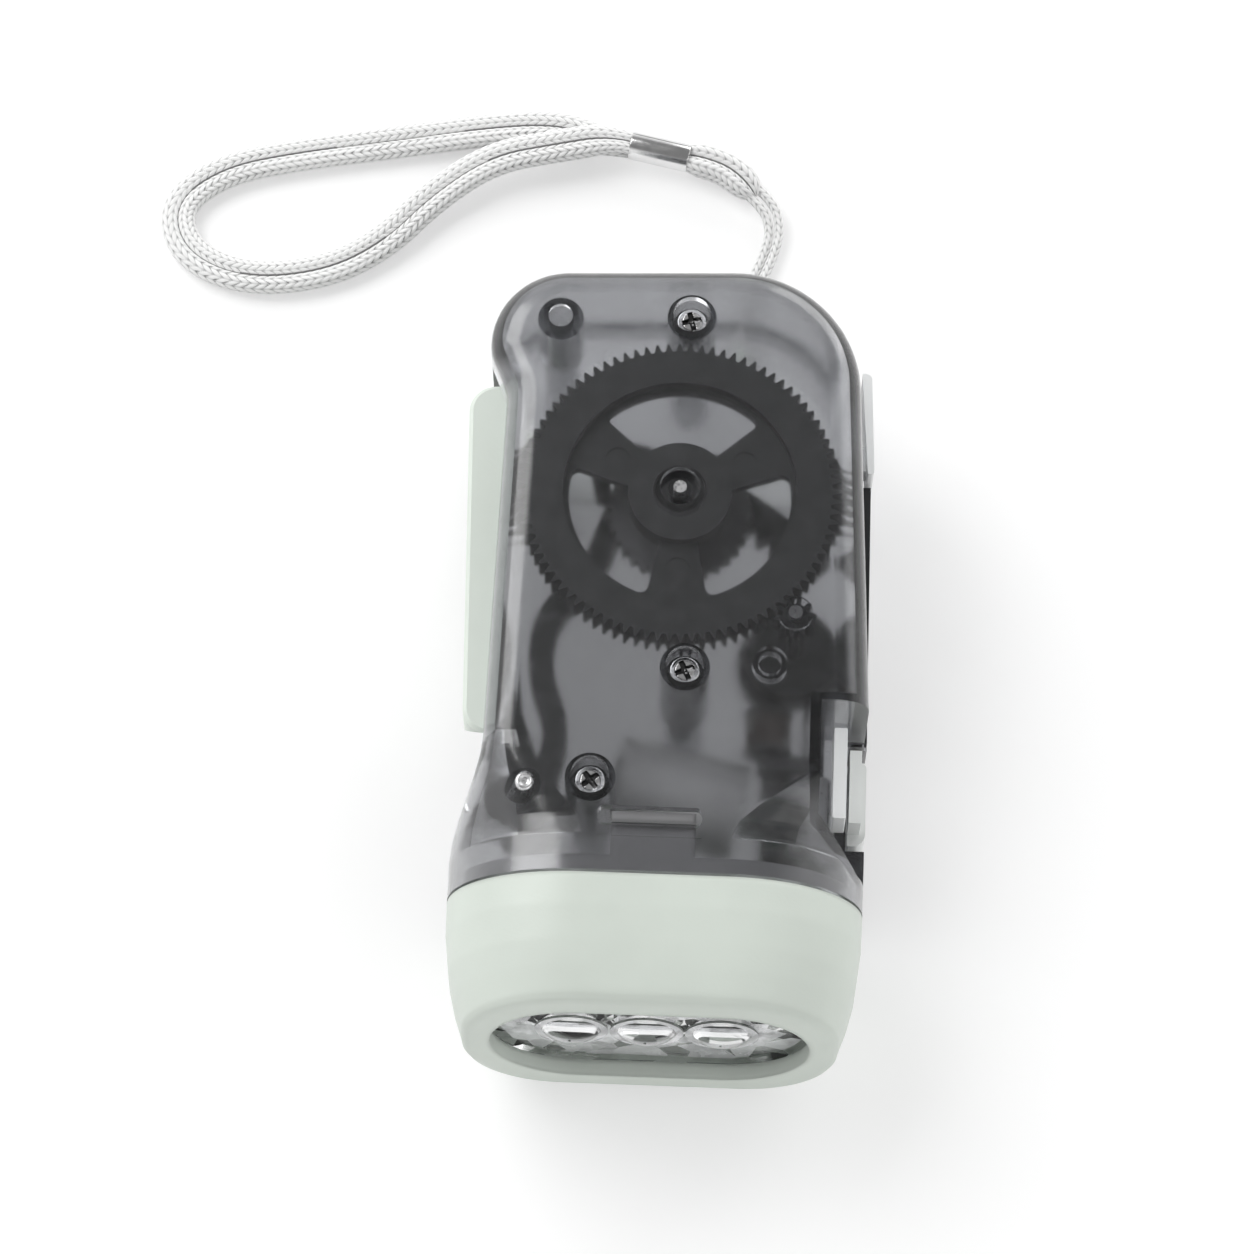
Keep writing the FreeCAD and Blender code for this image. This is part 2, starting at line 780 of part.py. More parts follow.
def gear_points(teeth, module, turn, slack, straight=False, addendum=1.0, dedendum=1.25):
    """Corner points of a gear's teeth; turn is the angle of tooth 0."""
    pitch = module * teeth / 2
    tip = pitch + addendum * module
    root = pitch - dedendum * module
    base = pitch * math.cos(math.radians(20))
    low = max(root + 0.15 * module, min(base, pitch - 0.5 * module))
    radii = [root, tip] if straight else [root, low, pitch, tip]
    points = []
    for i in range(teeth):
        centre = math.radians(turn) + 2 * math.pi * i / teeth
        rising = []
        for radius in radii:
            half = tooth_half_angle(teeth, module, max(radius, base), slack)
            rising.append((radius, half))
        for radius, half in rising:
            points.append((radius, centre - half))
        for radius, half in reversed(rising):
            points.append((radius, centre + half))
    return points


def polar(points, x, y):
    return [(x + r * math.cos(a), y + r * math.sin(a)) for r, a in points]


def gear_prism(teeth, module, turn, slack, x, y, z0, z1, straight=False):
    return prism(polar(gear_points(teeth, module, turn, slack, straight), x, y), z0, z1)


lever_angle = pivot_direction - 180


def internal_points(teeth, module, turn, slack, addendum, first, last):
    """Corner points of a ring's inward teeth; turn is the angle of tooth 0."""
    pitch = module * teeth / 2
    base = pitch * math.cos(math.radians(20))
    points = []
    for i in range(first, last):
        centre = math.radians(turn) + 2 * math.pi * i / teeth
        rising = []
        for radius in (pitch + 1.25 * module, pitch, pitch - addendum * module):
            gap = tooth_half_angle(teeth, module, max(radius, base), -slack)
            rising.append((radius, math.pi / teeth - gap))
        for radius, half in rising:
            points.append((radius, centre - half))
        for radius, half in reversed(rising):
            points.append((radius, centre + half))
    return points


def pinion_turn():
    """A pinion tooth points away from the lever's pivot, into the sector."""
    return lever_angle


def wheel_turn():
    """A tooth of the large wheel points at the rotor."""
    return rotor_direction


def rotor_turn():
    """A gap of the rotor's pinion faces the large wheel."""
    return rotor_direction + 180 + 180.0 / rotor_teeth


def ring_arc(x, y, inner, outer, start, end, z0, z1):
    """A piece of a flat ring between two angles in degrees."""
    middle = math.radians((start + end) / 2)
    a = math.radians(start)
    b = math.radians(end)

    def at(radius, angle):
        return V(x + radius * math.cos(angle), y + radius * math.sin(angle), z0)

    edges = [
        Part.Arc(at(outer, a), at(outer, middle), at(outer, b)).toShape(),
        Part.LineSegment(at(outer, b), at(inner, b)).toShape(),
        Part.Arc(at(inner, b), at(inner, middle), at(inner, a)).toShape(),
        Part.LineSegment(at(inner, a), at(outer, a)).toShape(),
    ]
    return Part.Face(Part.Wire(edges)).extrude(V(0, 0, z1 - z0))


def window(angle):
    """One of the three openings between the wheel's spokes."""
    hub_half = math.degrees(spoke_hub_width / 2 / hub_radius)
    rim_half = math.degrees(spoke_rim_width / 2 / window_outer_radius)
    inner = hub_radius
    outer = window_outer_radius

    def at(radius, degrees):
        a = math.radians(degrees)
        return V(gear_x + radius * math.cos(a), gear_y + radius * math.sin(a), web_low_z - 1)

    low_in, high_in = angle - 60 + hub_half, angle + 60 - hub_half
    low_out, high_out = angle - 60 + rim_half, angle + 60 - rim_half
    edges = [
        Part.Arc(at(outer, low_out), at(outer, angle), at(outer, high_out)).toShape(),
        Part.LineSegment(at(outer, high_out), at(inner, high_in)).toShape(),
        Part.Arc(at(inner, high_in), at(inner, angle), at(inner, low_in)).toShape(),
        Part.LineSegment(at(inner, low_in), at(outer, low_out)).toShape(),
    ]
    opening = Part.Face(Part.Wire(edges)).extrude(V(0, 0, web_high_z - web_low_z + 2))
    corners = [e for e in opening.Edges if e.BoundBox.ZLength > 1]
    outer_corners = [e for e in corners if e.CenterOfMass.distanceToPoint(
        V(gear_x, gear_y, e.CenterOfMass.z)) > (inner + outer) / 2]
    return opening.makeFillet(1.0, outer_corners)


def drive_gear():
    toothed = gear_prism(wheel_teeth, fine_module, wheel_turn(), gear_backlash, gear_x, gear_y,
                         wheel_low_z, wheel_high_z, straight=True)
    rim = toothed.cut(rod(gear_x, gear_y, wheel_low_z - 1, wheel_high_z + 1, rim_inner_radius))
    web = rod(gear_x, gear_y, web_low_z, web_high_z, rim_inner_radius + 0.5)
    web = web.cut([window(angle) for angle in (90, 210, 330)])
    hub = rod(gear_x, gear_y, hub_low_z, wheel_high_z, hub_radius)
    marks = []
    for angle, ring in ((30, 8.9), (150, 8.9), (270, 9.6)):
        a = math.radians(angle)
        marks.append(rod(gear_x + ring * math.cos(a), gear_y + ring * math.sin(a),
                         web_high_z - 0.2, web_high_z, spoke_mark_radius))
    pins = []
    for angle in pawl_angles:
        a = math.radians(angle)
        pins.append(rod(gear_x + pawl_pin_ring * math.cos(a), gear_y + pawl_pin_ring * math.sin(a),
                        pawl_low_z - 0.1, web_low_z + 0.3, pawl_pin_radius))
    foot = rod(gear_x, gear_y, hub_foot_z, hub_low_z + 0.5, hub_foot_radius)
    gear = rim.fuse([web.cut(marks), hub, foot] + pins)
    gear = gear.cut(rod(gear_x, gear_y, counterbore_floor_z, FAR, counterbore_radius))
    gear = gear.cut(rod(gear_x, gear_y, 0, FAR, shaft_radius + running_clearance))
    return gear.removeSplitter()


def clutch_pawls():
    """The pawls that let the wheel run on when the lever comes back."""
    x = gear_x + pawl_pin_ring
    nose_ring = ratchet_radius - ratchet_depth + 0.1
    nose = V(nose_ring * math.cos(0.45), nose_ring * math.sin(0.45))
    back = V((ratchet_radius + 1.1) * math.cos(0.38), (ratchet_radius + 1.1) * math.sin(0.38))
    points = [
        (gear_x + nose.x, gear_y + nose.y),
        (gear_x + back.x, gear_y + back.y + 0.5),
        (x + 1.2, gear_y + 0.4),
        (x - 1.2, gear_y - 0.4),
    ]
    high = ratchet_high_z - 0.1
    pawl = prism(points, pawl_low_z, high).fuse(rod(x, gear_y, pawl_low_z, high, 1.35))
    pawl = pawl.cut(rod(x, gear_y, 0, FAR, pawl_pin_radius + 0.05))
    wheel = ratchet_wheel(0.12)
    return Part.makeCompound([turned(pawl, gear_x, gear_y, angle).cut(wheel) for angle in pawl_angles])


def ratchet_wheel(margin):
    points = []
    for i in range(ratchet_teeth):
        start = 2 * math.pi * i / ratchet_teeth
        end = start + 2 * math.pi / ratchet_teeth
        points.append((ratchet_radius - ratchet_depth + margin, start))
        points.append((ratchet_radius + margin, end - 0.03))
    return prism(polar(points, gear_x, gear_y), ratchet_low_z, ratchet_high_z)


def ratchet_pinion():
    gear = gear_prism(pinion_teeth, lever_module, pinion_turn(), gear_backlash, gear_x, gear_y,
                      pinion_low_z, ratchet_low_z + 0.2)
    gear = gear.fuse(ratchet_wheel(0))
    gear = gear.cut(rod(gear_x, gear_y, 0, FAR, shaft_radius + running_clearance))
    return gear.removeSplitter()


def gear_shaft():
    return rod(gear_x, gear_y, 2.2, 33.2, shaft_radius)


# Lever

def sector_solid():
    """The toothed arc that reaches over the pinion from the far side."""
    step = 360.0 / sector_teeth
    turn = lever_angle + step / 2
    first = -int((lever_angle - sector_start) / step)
    last = int((sector_end - lever_angle) / step)
    teeth = internal_points(sector_teeth, lever_module, turn, gear_backlash, sector_addendum, first, last)
    root = teeth[0][0]
    outer = root + sector_rim
    start = teeth[0][1] - 0.012
    end = math.radians(sector_tail)
    middle = (start + end) / 2
    inner_end = teeth[-1][1] + 0.012

    def at(radius, angle):
        return V(pivot_x + radius * math.cos(angle), pivot_y + radius * math.sin(angle), arm_low_z)

    outline = [at(root, start)] + [at(r, a) for r, a in teeth] + [at(root, inner_end)]
    edges = [Part.LineSegment(p, q).toShape() for p, q in zip(outline, outline[1:])]
    edges.append(Part.Arc(outline[-1], at(root, (inner_end + end) / 2), at(root, end)).toShape())
    edges.append(Part.LineSegment(at(root, end), at(outer, end)).toShape())
    edges.append(Part.Arc(at(outer, end), at(outer, middle), at(outer, start)).toShape())
    edges.append(Part.LineSegment(at(outer, start), outline[0]).toShape())
    return Part.Face(Part.Wire(edges)).extrude(V(0, 0, arm_high_z - arm_low_z))


def lever_arm():
    middle_radius = lever_module * sector_teeth / 2 + 1.25 * lever_module + sector_rim / 2
    tail = math.radians(sector_tail - 1.5)
    points = [
        V(-14.4, -17.5, arm_low_z),
        V(-12.3, -9.6, arm_low_z),
        V(-15.1, -2.0, arm_low_z),
        V(-14.6, 5.2, arm_low_z),
        V(-9.4, 10.6, arm_low_z),
        V(-7.0, 17.6, arm_low_z),
        V(pivot_x + middle_radius * math.cos(tail), pivot_y + middle_radius * math.sin(tail), arm_low_z),
    ]
    path, radii = route(points)
    first_run = points[1].sub(points[0]).normalize()
    side = V(-first_run.y, first_run.x, 0).multiply(arm_width / 2)
    rise = V(0, 0, arm_high_z - arm_low_z)
    corners = [points[0].add(side), points[0].sub(side), points[0].sub(side).add(rise), points[0].add(side).add(rise)]
    band = swept(Part.makePolygon(corners + [corners[0]]), path)
    hub = rod(pivot_x, pivot_y, lever_hub_low_z, 25.9, lever_hub_radius)
    link = prism(
        [(-18.5, -21.2), (-13.5, -17.0), (-16.8, -7.6), (-18.4, 4.0), (-21.5, 6.0), (-21.2, -8.0)],
        link_low_z, link_high_z,
    )
    inside = link.common(grip_cavity())
    outside = link.cut(box(-FAR / 2, grip_inner_x, grip_low_y - 0.4, FAR / 2, 0, 40))
    arm = fused([sector_solid(), band, hub, inside, outside])
    return arm.cut(rod(pivot_x, pivot_y, 0, 40, pin_radius + running_clearance)).removeSplitter()


def grip_block(inset):
    """The grip's channel: open towards the casing, undercut at its lower end."""
    low = grip_low_z + inset
    high = grip_high_z - inset
    inner_x = grip_inner_x + (1.0 if inset else 0.0)
    corners = [
        V(inner_x, grip_low_y + inset, low),
        V(grip_outer_low + inset, grip_low_y + inset, low),
        V(grip_outer_high + inset, grip_high_y - inset, low),
        V(inner_x, grip_high_y - inset, low),
    ]
    radii = [0, grip_corner - inset, grip_corner - inset, 0]
    block = Part.Face(Part.Wire(rounded_edges(corners, radii))).extrude(V(0, 0, high - low))
    if not inset:
        edges = []
        for edge in block.Edges:
            reach = edge.BoundBox
            if reach.ZLength < 1e-6 and reach.XMin < grip_inner_x - 0.1:
                edges.append(edge)
        block = block.makeChamfer(grip_edge_bevel, edges)
    end_y = grip_low_y + inset
    wedge = [
        V(-FAR / 2, end_y - 30, grip_high_z), V(-FAR / 2, end_y, grip_high_z),
        V(-FAR / 2, end_y + grip_undercut, grip_low_z), V(-FAR / 2, end_y - 30, grip_low_z),
    ]
    cutter = Part.Face(Part.makePolygon(wedge + [wedge[0]])).extrude(V(FAR, 0, 0))
    return block.cut(cutter)


def grip_cavity():
    return grip_block(grip_wall)


def lever_grip():
    grip = grip_block(0).cut(grip_cavity())
    hole_low_x = lock_end_x - lug_clearance_x
    hole_high_x = lock_end_x + lock_finger_width + lug_clearance_x
    hole_low_z = lock_finger_low_z - lug_clearance_z
    hole_high_z = lock_finger_high_z + lug_clearance_z
    lug = box(
        hole_low_x - lug_wall, hole_high_x + lug_wall,
        lug_y, lug_y + lug_thickness,
        grip_low_z, hole_high_z + lug_wall,
    )
    lug = lug.cut(box(hole_low_x, hole_high_x, lug_y - 1, lug_y + lug_thickness + 1, hole_low_z, hole_high_z))
    return grip.fuse(lug).removeSplitter()


def lever_pin():
    return rod(pivot_x, pivot_y, 3.0, 33.2, pin_radius)


def return_spring():
    """A torsion spring's curls as one tube of half turns that climb steadily."""
    edges = []
    middles = []

    def at(turns, share=0.0):
        angle = math.pi * (turns + share)
        rise = spring_pitch * (turns + share) / 2
        return V(pivot_x + spring_radius * math.cos(angle), pivot_y + spring_radius * math.sin(angle),
                 spring_low_z + rise)

    for i in range(2 * spring_curls):
        edges.append(Part.Arc(at(i), at(i, 0.5), at(i + 1)).toShape())
        middles += [at(i), at(i, 0.25), at(i, 0.5), at(i, 0.75)]
    start = at(0)
    end = at(2 * spring_curls)
    leg = V(start.x, start.y - 5.0, start.z)
    far = V(end.x, end.y + 7.0, end.z)
    edges = [Part.LineSegment(leg, start).toShape()] + edges + [Part.LineSegment(end, far).toShape()]
    profile = many_sided(leg, V(0, 1, 0), spring_wire / 2, 6)
    least = min(p.distanceToPoint(q) for i, p in enumerate(middles) for q in middles[i + 6:])
    print("return spring least gap between curls", round(least - spring_wire, 2))
    return swept(profile, Part.Wire(edges))


# Generator

def rotor_shaft():
    return rod(rotor_x, rotor_y, 2.4, 32.1, shaft_radius)


def rotor_pinion():
    gear = gear_prism(rotor_teeth, fine_module, rotor_turn(), gear_backlash, rotor_x, rotor_y, 27.1, 30.4)
    return gear.cut(rod(rotor_x, rotor_y, 0, FAR, shaft_radius))


def flywheel():
    return pipe(rotor_x, rotor_y, flywheel_low_z, flywheel_high_z, flywheel_radius, shaft_radius)


def rotor_magnet():
    return pipe(rotor_x, rotor_y, rotor_low_z, rotor_high_z, magnet_radius, shaft_radius)


coil_x = 13.1
coil_y = -5.7
right_leg_x = 18.7
yoke_low_y = -10.9
yoke_high_y = -8.8


def stator_core():
    inner = magnet_radius + pole_gap
    left = ring_arc(rotor_x, rotor_y, inner, pole_outer_radius, 112, 248, core_low_z, core_high_z)
    right = ring_arc(rotor_x, rotor_y, inner, pole_outer_radius, -68, 68, core_low_z, core_high_z)
    half = core_leg / 2
    void = rod(rotor_x, rotor_y, 0, FAR, inner)
    left_leg = box(coil_x - half, coil_x + half, yoke_low_y, -1.5, core_low_z, core_high_z).cut(void)
    right_leg = box(right_leg_x - half, right_leg_x + half, yoke_low_y, -1.5, core_low_z, core_high_z).cut(void)
    yoke = box(coil_x - half, right_leg_x + half, yoke_low_y, yoke_high_y, core_low_z, core_high_z)
    return fused([left, right, left_leg, right_leg, yoke])


def coil_bobbin():
    half = core_leg / 2
    middle_z = (core_low_z + core_high_z) / 2
    y0 = coil_y - coil_length / 2
    y1 = coil_y + coil_length / 2
    sleeve = box(coil_x - half - 0.5, coil_x + half + 0.5, y0, y1, core_low_z - 0.5, core_high_z + 0.5)
    flanges = []
    for y in (y0, y1 - 0.6):
        flanges.append(Part.makeCylinder(coil_radius, 0.6, V(coil_x, y, middle_z), V(0, 1, 0)))
    hole = box(coil_x - half, coil_x + half, y0 - 1, y1 + 1, core_low_z, core_high_z)
    return fused([sleeve] + flanges).cut(hole)


def coil_winding():
    middle_z = (core_low_z + core_high_z) / 2
    y0 = coil_y - coil_length / 2 + 0.6
    y1 = coil_y + coil_length / 2 - 0.6
    half = core_leg / 2
    roll = Part.makeCylinder(coil_radius - 0.25, y1 - y0, V(coil_x, y0, middle_z), V(0, 1, 0))
    return roll.cut(box(coil_x - half - 0.5, coil_x + half + 0.5, y0 - 1, y1 + 1, core_low_z - 0.5, core_high_z + 0.5))


# Battery

def pack_cylinder(radius, length):
    along = V(math.cos(math.radians(pack_angle)), math.sin(math.radians(pack_angle)), 0)
    start = V(pack_x, pack_y, pack_z).sub(V(along.x, along.y, 0).multiply(length / 2))
    return Part.makeCylinder(radius, length, start, along)


def on_pack(shape):
    """Places what is modelled along X, centred on the origin, in the pack."""
    copy = shape.copy()
    copy.rotate(V(0, 0, 0), V(0, 0, 1), pack_angle)
    copy.translate(V(pack_x, pack_y, pack_z))
    return copy


def button_cells():
    total = pack_length()
    cells = []
    for i in range(cell_count):
        x = -total / 2 + i * (cell_height + cell_gap)
        cells.append(on_pack(Part.makeCylinder(cell_radius, cell_height, V(x, 0, 0), V(1, 0, 0))))
    return Part.makeCompound(cells)


def pack_length():
    return cell_count * cell_height + (cell_count - 1) * cell_gap


def cell_sleeve():
    length = pack_length()
    outer = Part.makeCylinder(cell_radius + sleeve_wall, length, V(-length / 2, 0, 0), V(1, 0, 0))
    inner = Part.makeCylinder(cell_radius, length + 2, V(-length / 2 - 1, 0, 0), V(1, 0, 0))
    return on_pack(outer.cut(inner))


def cell_tabs():
    length = pack_length()
    tabs = []
    for x in (-length / 2 - tab_thickness, length / 2):
        tabs.append(on_pack(box(x, x + tab_thickness, -2, 2, -1.0, 7.2)))
    return Part.makeCompound(tabs)


# Circuit board and switch

def circuit_board():
    plate = box(12.5, 21.0, -23.6, -10.5, board_z, board_z + board_thickness)
    return plate


def board_parts():
    top = board_z + board_thickness
    can = rod(14.2, -13.0, top, top + 3.2, 1.5)
    diode = Part.makeCylinder(0.9, 3.2, V(12.8, -20.8, top + 0.9), V(1, 0, 0))
    chip = box(13.4, 15.0, -18.2, -16.0, top, top + 0.8)
    resistor = box(17.0, 19.0, -22.6, -21.6, top, top + 0.6)
    return Part.makeCompound([can, diode, chip, resistor])


def slide_switch():
    top = board_z + board_thickness
    can = box(16.4, 20.6, -20.4, -11.2, top, top + 3.2)
    return can


def switch_plate():
    return rounded_prism([(20.9, -19.9), (22.5, -19.9), (22.5, -8.5), (20.9, -8.5)], [0.2] * 4, recess_floor_z, 24.0)


def switch_knob():
    base = rounded_prism([(22.95, -21.0), (25.15, -21.0), (25.15, -10.3), (22.95, -10.3)],
                         [0.2, 1.6, 0.8, 0.2], 10.2, 16.4)
    grip = box(22.95, 24.4, -19.5, -10.3, 16.4, 21.0)
    neck = box(20.8, 23.2, -18.5, -16.4, 11.0, 13.5)
    return fused([base, grip, neck])


def side_strip():
    return prism([(24.55, -7.9), (25.1, -7.9), (24.85, 25.6), (23.3, 25.6)], 15.2, 16.8).cut(
        casing_form(0, joint_y))


def lock_slider():
    z0 = lock_bar_z
    z1 = z0 + lock_bar_thickness
    y0 = lock_bar_y
    y1 = y0 + lock_bar_width
    finger_high_x = lock_end_x + lock_finger_width
    bar = box(lock_end_x, 20.7, y0, y1, z0, z1)
    riser = box(lock_end_x, finger_high_x, y0, y0 + 1.2, z0, lock_finger_high_z)
    finger = box(lock_end_x, finger_high_x, y0, y0 + lock_finger_reach, lock_finger_low_z, lock_finger_high_z)
    web = box(19.3, 20.7, y0 + 0.8, y1, z0, 16.2)
    neck = box(19.3, 24.5, y0 + 0.8, y1, 13.0, 16.2)
    plate = rounded_prism([(24.35, 26.2), (25.15, 26.2), (24.6, 39.6), (23.4, 39.6)], [0.1, 0.4, 0.8, 0.1], 11.0, 20.0)
    return fused([bar, riser, finger, web, neck, plate])


# Fasteners

def case_screws():
    screws = []
    for x, y in screw_places:
        seat = body_thickness - well_depth
        side_top = seat + screw_head_height - screw_head_bevel
        head = rod(x, y, seat, side_top, screw_head_radius)
        dome = Part.makeCone(screw_head_radius, screw_head_radius - screw_head_bevel, screw_head_bevel, V(x, y, side_top))
        recess_top = seat + screw_head_height + 0.01
        cross = box(x - 1.15, x + 1.15, y - 0.3, y + 0.3, recess_top - 0.8, recess_top)
        cross = cross.fuse(turned(cross, x, y, 90))
        shank = rod(x, y, seat - screw_length, seat, screw_shank_radius)
        screws.append(fused([head, dome, shank]).cut(turned(cross, x, y, 20)))
    return Part.makeCompound(screws)


# Wires and strap

def hookup_wires():
    routes = [
        [(12.9, -22.6, 9.65), (12.9, -25.5, 10.5), (10.5, -28.6, 11.5), (8.0, -31.2, 12.0), (6.3, -33.1, 12.0)],
        [(17.8, -23.0, 9.65), (17.8, -26.0, 9.9), (15.0, -29.4, 11.0), (12.3, -31.4, 12.0), (10.6, -33.1, 12.0)],
    ]
    wires = []
    for points in routes:
        cord, path, radii, section = round_cord([V(*p) for p in points], wire_radius, 6)
        wires.append(cord)
    return Part.makeCompound(wires)


sleeve_start = (-7.0, 78.3, 2.65)
sleeve_run = (7.81, -1.7, 0.0)

strap_points = [
    (-7.0, 78.3, 3.85), (-10.2, 79.0, 3.85), (-16.6, 77.2, 3.8), (-25.0, 75.4, 3.3), (-32.5, 70.0, 2.3),
    (-38.5, 63.4, 1.5), (-46.0, 59.0, 1.3), (-56.5, 57.6, 1.3), (-64.4, 61.2, 1.3), (-66.2, 68.0, 1.3),
    (-60.0, 73.4, 1.3), (-49.5, 76.0, 1.3), (-38.0, 78.0, 1.3), (-26.5, 80.2, 1.35), (-17.0, 81.5, 1.4),
    (-11.4, 79.26, 1.45), (-7.0, 78.3, 1.45),
]

string_points = [
    (8.4, 71.6, 2.2), (10.6, 70.0, 1.7), (11.55, 67.5, 1.1), (10.8, 64.5, 0.85), (9.4, 61.1, 0.85),
    (8.1, 57.0, 1.3), (7.1, 52.5, 2.8), (6.5, 48.2, 4.4), (6.4, 44.0, 4.6),
    (9.6, 44.0, 4.6), (9.5, 48.2, 4.4), (9.0, 52.3, 2.8), (9.7, 56.6, 1.3), (11.0, 60.5, 0.85),
    (12.4, 63.9, 0.85), (13.3, 67.7, 1.1), (12.2, 71.3, 1.7), (9.4, 73.0, 2.2),
]

fold_points = [(-7.0, 78.3, 2.65), (4.0, 75.91, 2.65), (8.6, 72.4, 2.4)]


def flat_wire(start, along, width, thickness, pointed=False):
    """A flat section of eight sides, or of six with pointed edges, square to a cord's first run."""
    ahead = V(along.x, along.y, along.z).normalize()
    side = V(-ahead.y, ahead.x, 0).normalize()
    up = ahead.cross(side).normalize()
    a = width / 2
    b = thickness / 2
    c = thickness / 3.2
    corners = []
    places = [(a, b - c), (a - c, b), (c - a, b), (-a, b - c), (-a, c - b), (c - a, -b), (a - c, -b), (a, c - b)]
    if pointed:
        places = [(a, 0), (a - c, b), (c - a, b), (-a, 0), (c - a, -b), (a - c, -b)]
    for s, t in places:
        corners.append(start.add(V(side.x, side.y, side.z).multiply(s)).add(V(up.x, up.y, up.z).multiply(t)))
    return Part.makePolygon(corners + [corners[0]])


def strap_loop():
    points = [V(*p) for p in strap_points]
    path, radii = route(points)
    profile = flat_wire(points[0], points[1].sub(points[0]), strap_width, strap_thickness, pointed=True)
    solid = swept(profile, path)
    section = Part.Face(profile).Area
    print("strap radii", [round(r, 1) for r in radii])
    print("strap length", round(path.Length, 1), "volume ratio", round(solid.Volume / (section * path.Length), 4))
    return solid


def strap_fold():
    points = [V(*p) for p in fold_points]
    path, radii = route(points)
    profile = flat_wire(points[0], points[1].sub(points[0]), 4.2, 4.2)
    return swept(profile, path)


def crimp_sleeve():
    start = V(*sleeve_start)
    along = V(*sleeve_run)
    outer = Part.Face(flat_wire(start, along, 5.0, 5.1)).extrude(along)
    inner = Part.Face(flat_wire(start, along, 4.3, 4.3)).extrude(along)
    return outer.cut(inner)


def string_loop():
    solid, path, radii, section = round_cord([V(*p) for p in string_points], string_radius, 6)
    print("string radii", [round(r, 1) for r in radii])
    print("string length", round(path.Length, 1), "volume ratio", round(solid.Volume / (section * path.Length), 4))
    return solid


def strap_pin():
    return rod(strap_pin_x, strap_pin_y, wall, 9.0, strap_pin_radius)


nodes = {
    "front_shell": front_shell,
    "rear_shell": rear_shell,
    "bezel": bezel,
    "lens": lens,
    "reflector": reflector,
    "lamps": lamps,
    "lamp_board": lamp_board,
    "drive_gear": drive_gear,
    "clutch_pawls": clutch_pawls,
    "ratchet_pinion": ratchet_pinion,
    "gear_shaft": gear_shaft,
    "lever_arm": lever_arm,
    "lever_grip": lever_grip,
    "lever_pin": lever_pin,
    "return_spring": return_spring,
    "rotor_shaft": rotor_shaft,
    "rotor_pinion": rotor_pinion,
    "flywheel": flywheel,
    "rotor_magnet": rotor_magnet,
    "stator_core": stator_core,
    "coil_bobbin": coil_bobbin,
    "coil_winding": coil_winding,
    "button_cells": button_cells,
    "cell_sleeve": cell_sleeve,
    "cell_tabs": cell_tabs,
    "circuit_board": circuit_board,
    "board_parts": board_parts,
    "slide_switch": slide_switch,
    "switch_plate": switch_plate,
    "switch_knob": switch_knob,
    "side_strip": side_strip,
    "lock_slider": lock_slider,
    "case_screws": case_screws,
    "hookup_wires": hookup_wires,
    "strap_pin": strap_pin,
    "string_loop": string_loop,
    "strap_fold": strap_fold,
    "crimp_sleeve": crimp_sleeve,
    "strap_loop": strap_loop,
}

os.makedirs("parts", exist_ok=True)
for name, make in nodes.items():
    shape = make()
    print(name, "solids", len(shape.Solids), "valid", shape.isValid(), "volume", round(shape.Volume, 1))
    shape.exportStep("parts/" + name + ".step")
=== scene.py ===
import json
import math

import bpy
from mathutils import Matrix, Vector


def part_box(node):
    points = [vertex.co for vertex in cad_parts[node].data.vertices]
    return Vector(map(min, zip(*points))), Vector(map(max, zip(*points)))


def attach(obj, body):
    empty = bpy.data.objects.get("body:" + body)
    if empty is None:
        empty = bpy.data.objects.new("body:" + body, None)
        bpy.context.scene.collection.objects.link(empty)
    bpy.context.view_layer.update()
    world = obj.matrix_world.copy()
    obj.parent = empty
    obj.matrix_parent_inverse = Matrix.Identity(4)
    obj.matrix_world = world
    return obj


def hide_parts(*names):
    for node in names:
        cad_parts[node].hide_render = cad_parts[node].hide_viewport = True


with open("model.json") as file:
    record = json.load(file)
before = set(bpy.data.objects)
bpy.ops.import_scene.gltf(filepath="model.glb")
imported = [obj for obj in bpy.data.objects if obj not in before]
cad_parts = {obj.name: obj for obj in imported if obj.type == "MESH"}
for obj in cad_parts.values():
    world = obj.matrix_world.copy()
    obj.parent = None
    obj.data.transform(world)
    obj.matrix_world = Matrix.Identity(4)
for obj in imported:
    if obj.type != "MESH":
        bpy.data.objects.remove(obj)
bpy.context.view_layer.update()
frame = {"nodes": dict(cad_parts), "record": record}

nodes = frame["nodes"]


# Camera: the photograph looks down on the casing from the lens end

image_pixels = 1254
pixels_per_metre = 8121
sensor_width = 36.0
camera_distance = 0.600
camera_azimuth = math.radians(2.2)
camera_elevation = math.radians(70)
camera_aim = Vector((-0.004716, 0.006353, 0.016))


def new_object(name, data):
    obj = bpy.data.objects.new(name, data)
    bpy.context.scene.collection.objects.link(obj)
    return obj


def point_at(obj, direction):
    """Turns a camera or a lamp to look along a direction."""
    obj.rotation_mode = "QUATERNION"
    obj.rotation_quaternion = direction.to_track_quat("-Z", "Y")


camera_data = bpy.data.cameras.new("camera")
camera_data.sensor_width = sensor_width
camera_data.lens = sensor_width * camera_distance * pixels_per_metre / image_pixels
camera = new_object("camera", camera_data)
back = Vector((
    math.sin(camera_azimuth) * math.cos(camera_elevation),
    -math.cos(camera_azimuth) * math.cos(camera_elevation),
    math.sin(camera_elevation),
))
camera.location = camera_aim + back * camera_distance
point_at(camera, -back)
bpy.context.scene.camera = camera
bpy.context.scene.view_settings.view_transform = "Standard"


# Cord routes, the same points as in the part's source

